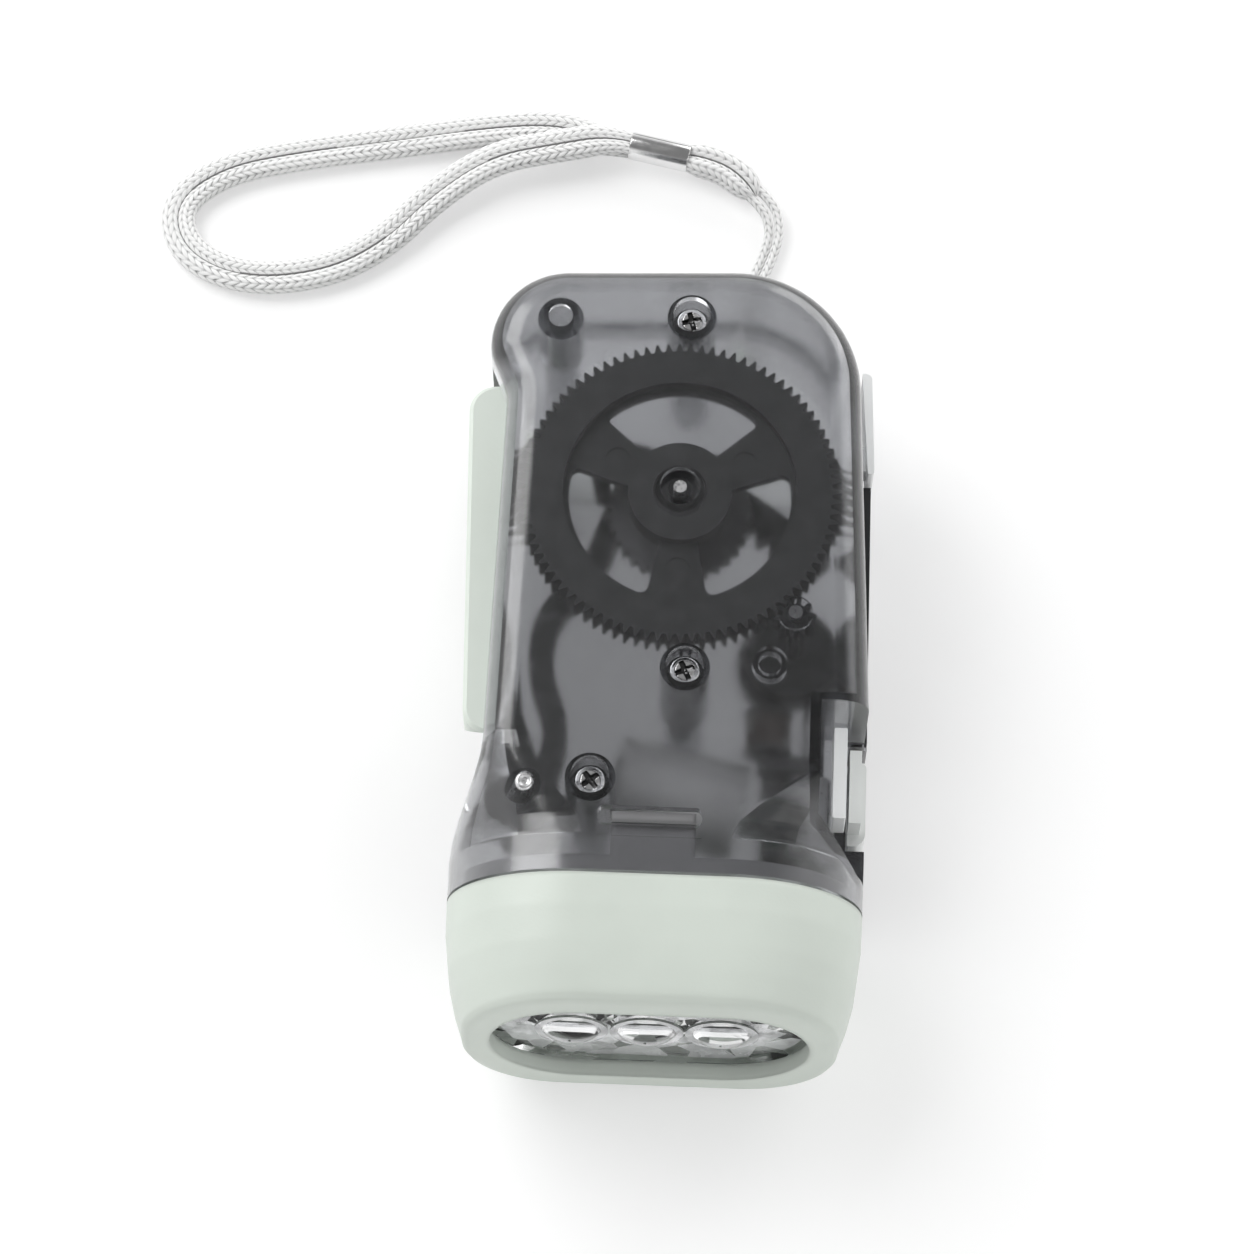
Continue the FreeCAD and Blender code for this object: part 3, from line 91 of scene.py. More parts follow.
strap_points = [
    (-0.0066, 0.0781, 0.00335), (-0.0098, 0.0788, 0.00345), (-0.0166, 0.0772, 0.0037),
    (-0.0250, 0.0754, 0.0033), (-0.0325, 0.0700, 0.0023), (-0.0385, 0.0634, 0.0015),
    (-0.0460, 0.0590, 0.0013), (-0.0565, 0.0576, 0.0013), (-0.0644, 0.0612, 0.0013),
    (-0.0662, 0.0680, 0.0013), (-0.0600, 0.0734, 0.0013), (-0.0495, 0.0760, 0.0013),
    (-0.0380, 0.0780, 0.0013), (-0.0265, 0.0802, 0.00135), (-0.0170, 0.0812, 0.0014),
    (-0.0114, 0.0793, 0.00150), (-0.0066, 0.0783, 0.00160),
]
string_points = [
    (0.0070, 0.0730, 0.0024), (0.0104, 0.0706, 0.0018), (0.01165, 0.0675, 0.0011),
    (0.0110, 0.0644, 0.00085), (0.0097, 0.0611, 0.00085), (0.0083, 0.0570, 0.0013),
    (0.0072, 0.0525, 0.0028), (0.0065, 0.0482, 0.0044), (0.0064, 0.0440, 0.0046),
    (0.0096, 0.0440, 0.0046), (0.0095, 0.0482, 0.0044), (0.0088, 0.0523, 0.0028),
    (0.0096, 0.0567, 0.0013), (0.0109, 0.0606, 0.00085), (0.0122, 0.0640, 0.00085),
    (0.0130, 0.0677, 0.0011), (0.0118, 0.0716, 0.0018), (0.0080, 0.0742, 0.0024),
]
fold_points = [
    (-0.0008, 0.0770, 0.0025), (0.0036, 0.0763, 0.0025), (0.0076, 0.0742, 0.0023),
    (0.0096, 0.0716, 0.0021),
]
sleeve_start = Vector((-0.0070, 0.0783, 0.0025))
sleeve_end = Vector((0.00081, 0.0766, 0.0025))

strap_width = 0.0046
strap_thickness = 0.0022
fold_width = 0.0046
fold_thickness = 0.0034
string_diameter = 0.0013
sleeve_width = 0.0036
sleeve_height = 0.0039
sleeve_wall = 0.0003


def read_route(name, points, steps):
    """Places along the smooth NURBS line that has a route's points as its control points."""
    curve = bpy.data.curves.new(name, "CURVE")
    curve.dimensions = "3D"
    curve.resolution_u = steps
    spline = curve.splines.new("NURBS")
    spline.points.add(len(points) - 1)
    for control, point in zip(spline.points, points):
        control.co = (*point, 1.0)
    spline.order_u = 3
    spline.use_endpoint_u = True
    obj = new_object(name, curve)
    line = bpy.data.meshes.new_from_object(obj)
    places = [vertex.co.copy() for vertex in line.vertices]
    bpy.data.objects.remove(obj)
    return places


def line_length(places):
    return sum((b - a).length for a, b in zip(places, places[1:]))


def evenly(places, step):
    """The same line with a place about every step, at equal distances."""
    whole = line_length(places)
    count = max(int(whole / step), 2)
    gap = whole / count
    spaced = [places[0]]
    travelled = 0.0
    for a, b in zip(places, places[1:]):
        length = (b - a).length
        while len(spaced) < count and travelled + length >= gap * len(spaced):
            spaced.append(a.lerp(b, (gap * len(spaced) - travelled) / length))
        travelled += length
    return spaced + [places[-1]]


# Helpers for meshes


def ease(value, low, high):
    """0 up to low and 1 from high on, with a smooth rise between them."""
    share = min(max((value - low) / (high - low), 0.0), 1.0)
    return share * share * (3 - 2 * share)


def cross_directions(ahead):
    """The level direction square to a line's own direction, and the one square to both."""
    side = Vector((-ahead.y, ahead.x, 0)).normalized()
    return side, ahead.cross(side)


def tube_faces(rings, sides, first=0, downwards=False):
    """Quads between equal rings of vertices that follow one another from the vertex first on.

    They face outwards where the rings go up, or with downwards where the rings go down.
    """
    faces = []
    for start in range(first, first + (rings - 1) * sides, sides):
        for k in range(sides):
            a = start + k
            b = start + (k + 1) % sides
            if downwards:
                a, b = b, a
            faces.append((a, b, b + sides, a + sides))
    return faces


def smooth_piece(name, vertices, faces, sharp_degrees=None, attribute=None, values=()):
    """A smoothly shaded mesh, with edges sharper than an angle kept and a value on each vertex."""
    mesh = bpy.data.meshes.new(name)
    mesh.from_pydata(vertices, [], faces)
    if attribute:
        mesh.attributes.new(attribute, "FLOAT", "POINT").data.foreach_set("value", values)
    mesh.shade_smooth()
    if sharp_degrees:
        mesh.set_sharp_from_angle(angle=math.radians(sharp_degrees))
    return new_object(name, mesh)


# Braided cords

rib_shift = 0.22  # share of the width by which a rib's middle lies off the cord's
section_steps = 720
section_slack = 0.999999
stitch_lean = 0.9
column_roundness = 2.2
stitch_roundness = 2.6
shade_line_period = 0.037  # metres of cord over which the painted shade line in the groove widens and narrows again
shade_line_mean = 0.75
shade_line_swing = 0.45
least_taper = 0.0004  # keeps the tapered end's last ring from closing to a point


def two_ribs(width, thickness):
    """A flat cord's section: two round ribs side by side with a narrow groove between them."""
    shift = rib_shift * width
    reach = width / 2 - shift
    rise = thickness / 2

    def at(angle):
        across = abs(math.cos(angle))
        up = math.sin(angle)
        a = (across / reach) ** 2 + (up / rise) ** 2
        b = across * shift / reach ** 2
        far = (b + math.sqrt(b ** 2 - a * ((shift / reach) ** 2 - 1))) / a
        return far * math.cos(angle), far * up
    return at


def circle(diameter):
    def at(angle):
        return diameter / 2 * math.cos(angle), diameter / 2 * math.sin(angle)
    return at


def around_section(at, sides):
    """Places at equal distances round a section. The slack keeps the last off the first."""
    turns = [2 * math.pi * k / section_steps for k in range(section_steps + 1)]
    fine = [Vector(at(angle)).to_3d() for angle in turns]
    return evenly(fine, line_length(fine) / sides * section_slack)[:sides]


def stitch_height(around, along):
    """A knitted braid's relief: columns of leaning stitches, 0 between them and 1 on crowns."""
    column = math.floor(around)
    across = around - column
    slope = stitch_lean if column % 2 else -stitch_lean
    phase = along + slope * (across - 0.5)
    inside = phase - math.floor(phase)
    crown = 1 - abs(2 * across - 1) ** column_roundness
    length = 1 - abs(2 * inside - 1) ** stitch_roundness
    return math.sqrt(max(crown, 0)) * math.sqrt(max(length, 0))


def braided(name, places, at, *, columns, pitch, lift, sides,
            end_share=1.0, end_length=0.0, taper=0.0, groove=0.0):
    """A braided cord as a mesh tube along a route, its stitches standing out of the section.

    Columns of stitches of one pitch stand out by lift. Over end_length the cord narrows to
    end_share of its size towards each end, and a taper rounds its last end off. A groove is the
    half width of a dark line of painted shade between two ribs, which opens and closes along the
    cord. The stitch heights go on the vertices too, for painted shade in the gaps between stitches.
    """
    outline = around_section(at, sides)
    vertices = []
    stitch_shade_heights = []
    travelled = 0.0
    whole = line_length(places)
    for i, place in enumerate(places):
        before = places[max(i - 1, 0)]
        after = places[min(i + 1, len(places) - 1)]
        side, up = cross_directions((after - before).normalized())
        if i:
            travelled += (place - before).length
        left = whole - travelled
        shrink = 1.0
        if end_length:
            shrink = end_share + (1 - end_share) * ease(min(travelled, left), 0, end_length)
        if taper and left < taper:
            shrink *= math.sqrt(max(1 - (1 - left / taper) ** 2, least_taper))
        # Painted shade: the half width of the dark line down the groove, which widens and narrows
        # along the cord
        wave = math.sin(2 * math.pi * travelled / shade_line_period)
        dark = groove * (shade_line_mean + shade_line_swing * wave)
        for k, spot in enumerate(outline):
            height = stitch_height(columns * (k + 0.5) / sides, travelled / pitch)
            out = spot.normalized() * lift * (height - 1)
            sideways = side * (spot.x + out.x) * shrink
            upwards = up * (spot.y + out.y) * shrink
            vertices.append(place + sideways + upwards)
            # The stitch heights, 0 inside the groove's dark line, go on the vertices for painted
            # shade in the gaps
            stitch_shade_heights.append(height if abs(spot.x) >= dark else 0.0)
    count = len(vertices)
    faces = tube_faces(len(places), sides)
    faces.append(tuple(reversed(range(sides))))
    faces.append(tuple(range(count - sides, count)))
    return smooth_piece(name, vertices, faces, attribute="crown", values=stitch_shade_heights)


strap_line = read_route("strap_route", strap_points, steps=40)
string_line = read_route("string_route", string_points, steps=16)
fold_line = read_route("fold_route", fold_points, steps=40)

strap_step = 0.00019
string_step = 0.00015
flat_braid = {"columns": 16, "pitch": 0.00115, "lift": 0.00026, "sides": 96, "groove": 0.00013}

strap = braided(
    "strap", evenly(strap_line, strap_step), two_ribs(strap_width, strap_thickness),
    end_share=0.68, end_length=0.007, **flat_braid,
)
string = braided(
    "string", evenly(string_line, string_step), circle(string_diameter),
    columns=6, pitch=0.0010, lift=0.00016, sides=36,
)
fold = braided(
    "fold", evenly(fold_line, strap_step), two_ribs(fold_width, fold_thickness),
    end_share=0.70, end_length=0.0035, taper=0.0018, **flat_braid,
)


# Crimp sleeve

sleeve_power = 0.9  # below 1 the section is fuller than an oval
sleeve_steps = 64
seam_angle = math.radians(62)
seam_half = math.radians(2.2)
sleeve_sharp_degrees = 40


def sleeve(name, start, end, width, height, wall):
    """A strip of sheet metal bent round a cord, with its two long edges in a seam on top."""
    ahead = (end - start).normalized()
    side, up = cross_directions(ahead)
    length = (end - start).length

    def bent(part, half):
        return math.copysign(abs(part) ** sleeve_power, part) * half

    def outline(shrink):
        places = []
        for k in range(sleeve_steps + 1):
            open_turn = (2 * math.pi - 2 * seam_half) * k / sleeve_steps
            angle = seam_angle + seam_half + open_turn
            across = bent(math.cos(angle), width / 2 - shrink)
            rise = bent(math.sin(angle), height / 2 - shrink)
            places.append(side * across + up * rise)
        return places

    # The outside with its rounded rims from one end to the other, and then the inside
    profile = [
        (0, wall * 0.6), (wall * 0.4, wall * 0.1), (wall, 0),
        (length - wall, 0), (length - wall * 0.4, wall * 0.1), (length, wall * 0.6),
        (length, wall), (0, wall),
    ]
    vertices = [
        start + ahead * along + place for along, shrink in profile for place in outline(shrink)
    ]
    count = sleeve_steps + 1
    rows = [row * count for row in range(len(profile))]
    faces = []
    for a, b in zip(rows, rows[1:] + rows[:1]):
        for k in range(sleeve_steps):
            faces.append((a + k, a + k + 1, b + k + 1, b + k))
    faces.append(tuple(rows))
    faces.append(tuple(row + sleeve_steps for row in reversed(rows)))
    return smooth_piece(name, vertices, faces, sleeve_sharp_degrees)


crimp = sleeve("crimp", sleeve_start, sleeve_end, sleeve_width, sleeve_height, sleeve_wall)


# Screws and the lever's pin

screw_places = [(0.00192, 0.04095), (0.0026, -0.0044), (-0.00814, -0.0186)]
screw_turns = [15, 25, 38]
screw_seat = 0.0298
screw_top = 0.0314
screw_radius = 0.00175
screw_rings = 40
screw_sides = 120
head_slope = (0.55, 1.02)  # shares of the radius between which the head slopes down
head_drop = 0.00048
head_power = 1.5
head_rim = 0.0001
shank_radius = 0.00095
shank_end = 0.0098
thread_pitch = 0.0007
thread_depth = 0.00022
thread_rows = 4  # rings of vertices to a pitch

arm_half_width = 0.00036
arm_narrowing = 0.08  # per metre from the middle outwards
arm_edge = 0.00004
arm_end = (0.00113, 0.00124)
arm_depth = 0.00085
arm_rise = 0.30  # per metre from the middle outwards
# The depths over which a screw's recess goes from unshaded to fully darkened by painted shade
recess_shade_depth = (0.00008, 0.0003)

turned_sides = 64
turned_sharp_degrees = 50


def recess_depth(u, v):
    """A screw head's cross recess: four arms that grow narrower and less deep outwards."""
    deepest = 0.0
    for along, across in ((abs(u), abs(v)), (abs(v), abs(u))):
        arm = arm_half_width - arm_narrowing * along
        inside = 1 - ease(across, arm - arm_edge, arm + arm_edge)
        reach = 1 - ease(along, *arm_end)
        depth = arm_depth - arm_rise * along
        deepest = max(deepest, inside * reach * depth)
    return deepest


def ring(x, y, radii, z, turn=0.0):
    """Level places about a vertical axis, one for each radius."""
    places = []
    for k, r in enumerate(radii):
        angle = turn + 2 * math.pi * k / len(radii)
        places.append((x + r * math.cos(angle), y + r * math.sin(angle), z))
    return places


def screw_head(x, y, turn):
    """The vertices of a domed head with its recess, and how far each is sunk, from 0 to 1, which
    sets the painted shade that darkens the recess.
    """
    vertices = []
    sunk = []
    c = math.cos(turn)
    s = math.sin(turn)
    slope_start, slope_end = (share * screw_radius for share in head_slope)
    for i in range(1, screw_rings + 1):
        r = screw_radius * i / screw_rings
        lowered = head_drop * ease(r, slope_start, slope_end) ** head_power
        for k in range(screw_sides):
            angle = 2 * math.pi * k / screw_sides
            u = r * math.cos(angle)
            v = r * math.sin(angle)
            depth = recess_depth(u, v)
            # Painted shade: deeper places in the recess are marked darker
            sunk.append(ease(depth, *recess_shade_depth))
            vertices.append((x + u * c - v * s, y + u * s + v * c, screw_top - lowered - depth))
    return vertices, sunk


def thread_radius(z, share):
    """The radius of a climbing ridge at a height and a share of a turn."""
    phase = z / thread_pitch + share
    ridge = abs(2 * (phase - math.floor(phase)) - 1)
    return shank_radius - thread_depth * (1 - ridge)


def screw(name, x, y, turn):
    """A screw from its head down to its point."""
    vertices, sunk = screw_head(x, y, turn)
    rims = [
        (screw_radius, screw_seat + head_rim), (screw_radius - head_rim, screw_seat),
        (shank_radius, screw_seat),
    ]
    for r, z in rims:
        vertices += ring(x, y, [r] * screw_sides, z, turn)
    z = screw_seat - thread_pitch
    while z > shank_end:
        radii = [thread_radius(z, k / screw_sides) for k in range(screw_sides)]
        vertices += ring(x, y, radii, z, turn)
        z -= thread_pitch / thread_rows
    count = len(vertices)
    faces = tube_faces(count // screw_sides, screw_sides, downwards=True)
    faces.append(tuple(range(screw_sides)))
    faces.append(tuple(reversed(range(count - screw_sides, count))))
    sunk += [0.0] * (count - len(sunk))
    return smooth_piece(name, vertices, faces, turned_sharp_degrees, "sunk", sunk)


def turned_piece(name, x, y, profile):
    """A solid of revolution about a vertical axis, from its (radius, z) places, top first."""
    vertices = [(x, y, profile[0][1])]
    for r, z in profile:
        vertices += ring(x, y, [r] * turned_sides, z)
    faces = [(0, 1 + k, 1 + (k + 1) % turned_sides) for k in range(turned_sides)]
    faces += tube_faces(len(profile), turned_sides, first=1, downwards=True)
    count = len(vertices)
    faces.append(tuple(reversed(range(count - turned_sides, count))))
    return smooth_piece(name, vertices, faces, turned_sharp_degrees)


# The pin's hollowed end: shares of the pin's radius, and how far each lies below its top
pin_end = [
    (0.25, 0.0003), (0.42, 0.00029), (0.50, 0.00018), (0.56, 0.00004), (0.66, 0),
    (0.78, 0.00002), (0.90, 0.0001), (1, 0.0003),
]
pin_low, pin_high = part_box("lever_pin")
pin_x = (pin_low.x + pin_high.x) / 2
pin_y = (pin_low.y + pin_high.y) / 2
pin_radius = (pin_high.x - pin_low.x) / 2
pin_profile = [(share * pin_radius, pin_high.z - drop) for share, drop in pin_end]
pin = turned_piece("pin", pin_x, pin_y, pin_profile + [(pin_radius, pin_low.z)])

screws = []
for number, ((x, y), turn) in enumerate(zip(screw_places, screw_turns), start=1):
    screws.append(screw("screw_" + str(number), x, y, math.radians(turn)))


# Helpers for materials


def feed(tree, node, inputs):
    """Fills a node's inputs, by name or number, with sockets to wire in or values to set."""
    for key, value in inputs.items():
        if isinstance(value, bpy.types.NodeSocket):
            tree.links.new(value, node.inputs[key])
        else:
            node.inputs[key].default_value = value


def new_node(tree, kind, inputs=None, **settings):
    node = tree.nodes.new(kind)
    for setting, value in settings.items():
        setattr(node, setting, value)
    feed(tree, node, inputs or {})
    return node


def new_material(name):
    """A material, its nodes and its Principled shader."""
    material = bpy.data.materials.new(name)
    material.use_nodes = True
    tree = material.node_tree
    return material, tree, tree.nodes["Principled BSDF"]


def opaque(colour):
    return (*colour, 1)


def scaled(colour, share):
    return tuple(min(c * share, 1.0) for c in colour)


def maths(tree, operation, *inputs):
    node = new_node(tree, "ShaderNodeMath", dict(enumerate(inputs)), operation=operation)
    return node.outputs[0]


def vectors(tree, operation, *inputs):
    node = new_node(tree, "ShaderNodeVectorMath", dict(enumerate(inputs)), operation=operation)
    return node.outputs["Value" if operation == "DOT_PRODUCT" else "Vector"]


def mixed(tree, share, first, second):
    """The first colour where the share is 0, and the second where it is 1."""
    inputs = {"Factor": share, "A": first, "B": second}
    return new_node(tree, "ShaderNodeMix", inputs, data_type="RGBA").outputs["Result"]


def spread(tree, source, low, high, first=0.3, last=0.7):
    """The source's range from first to last mapped to the one from low to high."""
    inputs = {"From Min": first, "From Max": last, "To Min": low, "To Max": high}
    return new_node(tree, "ShaderNodeMapRange", {**inputs, "Value": source}).outputs["Result"]


# Floor and light

floor_half = 1.5
floor_gap = 0.0002
floor_glow = 0.40
floor_tone = (0.72, 0.72, 0.72)
floor_tone_seen = (0.70, 0.70, 0.70)
sky_edge_height = 0.35
sky_top_height = 0.75
sky_edge_strength = 1.0
sky_top_strength = 0.22


def seen_directly(tree):
    """1 for what the camera sees, also in mirrors and through glass, and 0 for other light."""
    path = new_node(tree, "ShaderNodeLightPath")
    first = maths(tree, "MAXIMUM", path.outputs["Is Camera Ray"], path.outputs["Is Glossy Ray"])
    return maths(tree, "MAXIMUM", first, path.outputs["Is Transmission Ray"])


floor_mesh = bpy.data.meshes.new("floor")
floor_corners = [
    (-floor_half, -floor_half, 0), (floor_half, -floor_half, 0), (floor_half, floor_half, 0),
    (-floor_half, floor_half, 0),
]
floor_mesh.from_pydata(floor_corners, [], [(0, 1, 2, 3)])
floor = new_object("floor", floor_mesh)
floor.location.z = -floor_gap
floor_material, floor_tree, paper = new_material("floor_paper")
direct = seen_directly(floor_tree)
feed(floor_tree, paper, {
    "Base Color": mixed(floor_tree, direct, opaque(floor_tone), opaque(floor_tone_seen)),
    "Roughness": 0.9,
    "Specular IOR Level": 0.0,
    "Emission Color": (1, 1, 1, 1),
    "Emission Strength": maths(floor_tree, "MULTIPLY", direct, floor_glow),
})
floor.data.materials.append(floor_material)

# The sky is brighter near the horizon than above, so that flanks look lighter than flat tops
world = bpy.data.worlds.new("studio")
bpy.context.scene.world = world
world.use_nodes = True
sky_tree = world.node_tree
sky_direction = new_node(sky_tree, "ShaderNodeTexCoord").outputs["Generated"]
sky_parts = new_node(sky_tree, "ShaderNodeSeparateXYZ", {"Vector": sky_direction})
feed(sky_tree, sky_tree.nodes["Background"], {
    "Color": (1, 1, 1, 1),
    "Strength": spread(
        sky_tree, sky_parts.outputs["Z"], sky_edge_strength, sky_top_strength,
        first=sky_edge_height, last=sky_top_height,
    ),
})


def softbox(name, place, width, height, power):
    """A rectangular lamp that looks at the origin."""
    lamp = bpy.data.lights.new(name, "AREA")
    lamp.shape = "RECTANGLE"
    lamp.size = width
    lamp.size_y = height
    lamp.energy = power
    obj = new_object(name, lamp)
    obj.location = place
    point_at(obj, -Vector(place))


softbox("key_light", (-0.54, 0.38, 0.70), width=0.65, height=0.65, power=5.4)
softbox("fill_light", (0.5, -0.5, 0.6), width=0.9, height=0.9, power=1.4)
softbox("rim_light", (0.45, 0.75, 0.32), width=0.6, height=0.5, power=2.4)


# Materials: scales are in waves or cells per metre, and depths and places in metres

lens_front = ((0, -0.9962, 0.0872), 0.04639)  # the plane's normal and its place along it
facet_scale = 330
facet_depth = 0.55
facet_margin = 0.0001
bezel_mouth = -0.0303
colour_step = 0.00005
coat_roughness = 0.17
# How dark the painted shade in a screw's recess is, as a share of the metal's colour
recess_shade_share = 0.10
wave_period = math.pi / 10  # a wave texture's own distance between bands at a scale of 1


def object_places(tree):
    return new_node(tree, "ShaderNodeTexCoord").outputs["Object"]


def noise(tree, scale, detail=3.0, stretch=(1, 1, 1)):
    """Noise in the object's own space."""
    mapping = new_node(tree, "ShaderNodeMapping", {"Scale": stretch, "Vector": object_places(tree)})
    places = mapping.outputs["Vector"]
    inputs = {"Scale": scale, "Detail": detail, "Vector": places}
    return new_node(tree, "ShaderNodeTexNoise", inputs).outputs["Fac"]


def tones(tree, source, colours):
    """Colours along a ramp, given as (place, (r, g, b))."""
    ramp = new_node(tree, "ShaderNodeValToRGB", {"Fac": source})
    stops = ramp.color_ramp.elements
    while len(stops) < len(colours):
        stops.new(0.5)
    for stop, (place, colour) in zip(stops, colours):
        stop.position = place
        stop.color = opaque(colour)
    return ramp.outputs["Color"]


def marked(tree, attribute):
    """The value that a mesh gives its vertices under a name."""
    return new_node(tree, "ShaderNodeAttribute", attribute_name=attribute).outputs["Fac"]


def relief(tree, shader, source, depth, soften=0.0):
    """Bump of a depth; soften rounds the shading of edges over that distance."""
    bump = new_node(tree, "ShaderNodeBump", {"Strength": 1.0, "Distance": depth, "Height": source})
    if soften:
        rounded = new_node(tree, "ShaderNodeBevel", {"Radius": soften})
        feed(tree, bump, {"Normal": rounded.outputs["Normal"]})
    feed(tree, shader, {"Normal": bump.outputs["Normal"]})


def moulded(name, colour, *, roughness, grain, depth, variation, specular=0.5, inner=None,
            soften=0.0):
    """Moulded plastic: faint blotches of tone, a fine spark-eroded grain and uneven gloss.

    With inner, a place and a colour, the part further along Y than the place has that colour.
    """
    material, tree, shader = new_material(name)
    dim = scaled(colour, 1 - variation)
    pale = scaled(colour, 1 + variation)
    surface = tones(tree, noise(tree, scale=90, detail=4), [(0.35, dim), (0.65, pale)])
    if inner:
        place, inner_colour = inner
        parts = new_node(tree, "ShaderNodeSeparateXYZ", {"Vector": object_places(tree)})
        beyond = spread(
            tree, parts.outputs["Y"], 0, 1, first=place - colour_step, last=place + colour_step,
        )
        surface = mixed(tree, beyond, surface, opaque(inner_colour))
    gloss = noise(tree, scale=350, detail=3)
    feed(tree, shader, {
        "Base Color": surface,
        "Roughness": spread(tree, gloss, roughness - 0.05, roughness + 0.06),
        "Specular IOR Level": specular,
    })
    relief(tree, shader, noise(tree, grain, detail=2), depth, soften)
    return material


def metal(name, colour, *, roughness, scale=3000, depth=0.000004, tarnish=0.12, painted_recess_shade=False,
          plating=1.0):
    """Bare or plated metal with fine ground marks and slightly duller patches.

    If recess shade is asked for, the places that a mesh marks as sunk are darkened with painted
    shade. A plating below 1 is a thin one that scatters light.
    """
    material, tree, shader = new_material(name)
    patches = noise(tree, scale=600, detail=4)
    surface = tones(tree, patches, [(0.3, scaled(colour, 1 - tarnish)), (0.6, colour)])
    # Painted shade: places marked as sunk are darkened to stand in for the shadow in a recess
    if painted_recess_shade:
        recess_shade_colour = opaque(scaled(colour, recess_shade_share))
        surface = mixed(tree, marked(tree, "sunk"), surface, recess_shade_colour)
    marks = noise(tree, scale, detail=3)
    feed(tree, shader, {
        "Base Color": surface,
        "Metallic": plating,
        "Roughness": spread(tree, marks, roughness * 0.7, roughness * 1.4),
    })
    relief(tree, shader, marks, depth)
    return material


def facets(tree, scale):
    """Heights of flat facets, each with its own tilt, as in a prismatic plate."""
    places = object_places(tree)
    cells = new_node(tree, "ShaderNodeTexVoronoi", {"Scale": scale, "Vector": places})
    direction = vectors(tree, "SUBTRACT", cells.outputs["Color"], (0.5, 0.5, 0.5))
    away = vectors(tree, "SUBTRACT", places, cells.outputs["Position"])
    return vectors(tree, "DOT_PRODUCT", direction, away)


def on_plane(tree, normal, place, margin):
    """1 within a margin of the plane that has this normal and place along it, else 0."""
    along = vectors(tree, "DOT_PRODUCT", object_places(tree), normal)
    return maths(tree, "COMPARE", along, place, margin)


def see_through(name, colour, *, roughness, ior, shadow_tint, gloss=0.0, smoke=None, faceted=None):
    """Clear plastic. Lamps shine through it, and what is behind it is seen bent by its walls.

    With smoke, a colour and a density, its thick places look darker than its thin ones.
    With faceted, a plane's normal and its place along it, the surface on that plane has facets.
    """
    material, tree, shader = new_material(name)
    haze = noise(tree, scale=500, detail=4)
    feed(tree, shader, {
        "Base Color": opaque(colour),
        "Transmission Weight": 1.0,
        "IOR": ior,
        "Coat Weight": gloss,
        "Coat Roughness": coat_roughness,
        "Roughness": spread(tree, haze, roughness * 0.7, roughness * 1.3),
    })
    if faceted:
        normal, place = faceted
        front = on_plane(tree, normal, place, facet_margin)
        share = maths(tree, "MULTIPLY", facets(tree, facet_scale), front)
        relief(tree, shader, share, facet_depth)
    else:
        relief(tree, shader, noise(tree, scale=130, detail=2), depth=0.00001)
    output = tree.nodes["Material Output"]
    path = new_node(tree, "ShaderNodeLightPath")
    clear = new_node(tree, "ShaderNodeBsdfTransparent", {"Color": opaque(shadow_tint)})
    either = new_node(tree, "ShaderNodeMixShader", {
        "Fac": path.outputs["Is Shadow Ray"], 1: shader.outputs["BSDF"], 2: clear.outputs["BSDF"],
    })
    feed(tree, output, {"Surface": either.outputs["Shader"]})
    if smoke:
        smoke_colour, density = smoke
        body = new_node(tree, "ShaderNodeVolumeAbsorption", {
            "Color": opaque(smoke_colour), "Density": density,
        })
        feed(tree, output, {"Volume": body.outputs["Volume"]})
    return material


def milky(name, colour, *, roughness):
    """Cloudy cast resin, denser in places."""
    material = moulded(
        name, colour, roughness=roughness, grain=1200, depth=0.00001, variation=0.03,
    )
    tree = material.node_tree
    feed(tree, tree.nodes["Principled BSDF"], {
        "Subsurface Weight": 0.4, "Subsurface Radius": (0.002, 0.002, 0.002),
    })
    return material


def banded(name, dark, bright, *, direction, pitch, metallic, roughness, depth):
    """Wire turns or stacked sheets: fine bands square to a direction."""
    material, tree, shader = new_material(name)
    waves = new_node(tree, "ShaderNodeTexWave", {
        "Scale": wave_period / pitch, "Distortion": 0.4, "Detail": 1.0,
        "Vector": object_places(tree),
    }, bands_direction=direction)
    bands = waves.outputs["Fac"]
    dullness = noise(tree, scale=900, detail=3)
    feed(tree, shader, {
        "Base Color": tones(tree, bands, [(0.15, dark), (0.7, bright)]),
        "Metallic": metallic,
        "Roughness": spread(tree, dullness, roughness - 0.05, roughness + 0.1),
    })
    relief(tree, shader, bands, depth)
    return material


def printed_board(name, lacquer, track):
    """Board lacquer with copper tracks faintly raised under it."""
    material, tree, shader = new_material(name)
    cells = new_node(tree, "ShaderNodeTexVoronoi", {
        "Scale": 260, "Vector": object_places(tree),
    }, distance="CHEBYCHEV", feature="F1")
    between = spread(tree, cells.outputs["Distance"], 0, 1, first=0.38, last=0.44)
    gloss = noise(tree, scale=800, detail=3)
    feed(tree, shader, {
        "Base Color": tones(tree, between, [(0.0, track), (1.0, lacquer)]),
        "Roughness": spread(tree, gloss, 0.25, 0.4),
    })
    relief(tree, shader, between, depth=0.00003)
    return material


def yarn(name, gap, crown):
    """Braided polyester: pale crowns of the stitches, painted shade darkening the gaps, and fine
    threads across.
    """
    material, tree, shader = new_material(name)
    threads = noise(tree, scale=5200, detail=2, stretch=(1, 1, 0.3))
    # Painted shade: the colour darkens from the stitches' crowns into the gaps between them and
    # along the groove's line
    feed(tree, shader, {
        "Base Color": tones(tree, marked(tree, "crown"), [(0.15, gap), (0.7, crown)]),
        "Roughness": spread(tree, threads, 0.55, 0.8),
        "Sheen Weight": 0.25,
    })
    relief(tree, shader, threads, depth=0.00004)
    return material


# The gaps' tone is painted shade; the crowns' tone is the yarn's own white
yarn_gap_shade = (0.24, 0.24, 0.24)
yarn_crown = (0.93, 0.93, 0.925)
pale_grain = {"grain": 2600, "depth": 0.000012, "variation": 0.02}

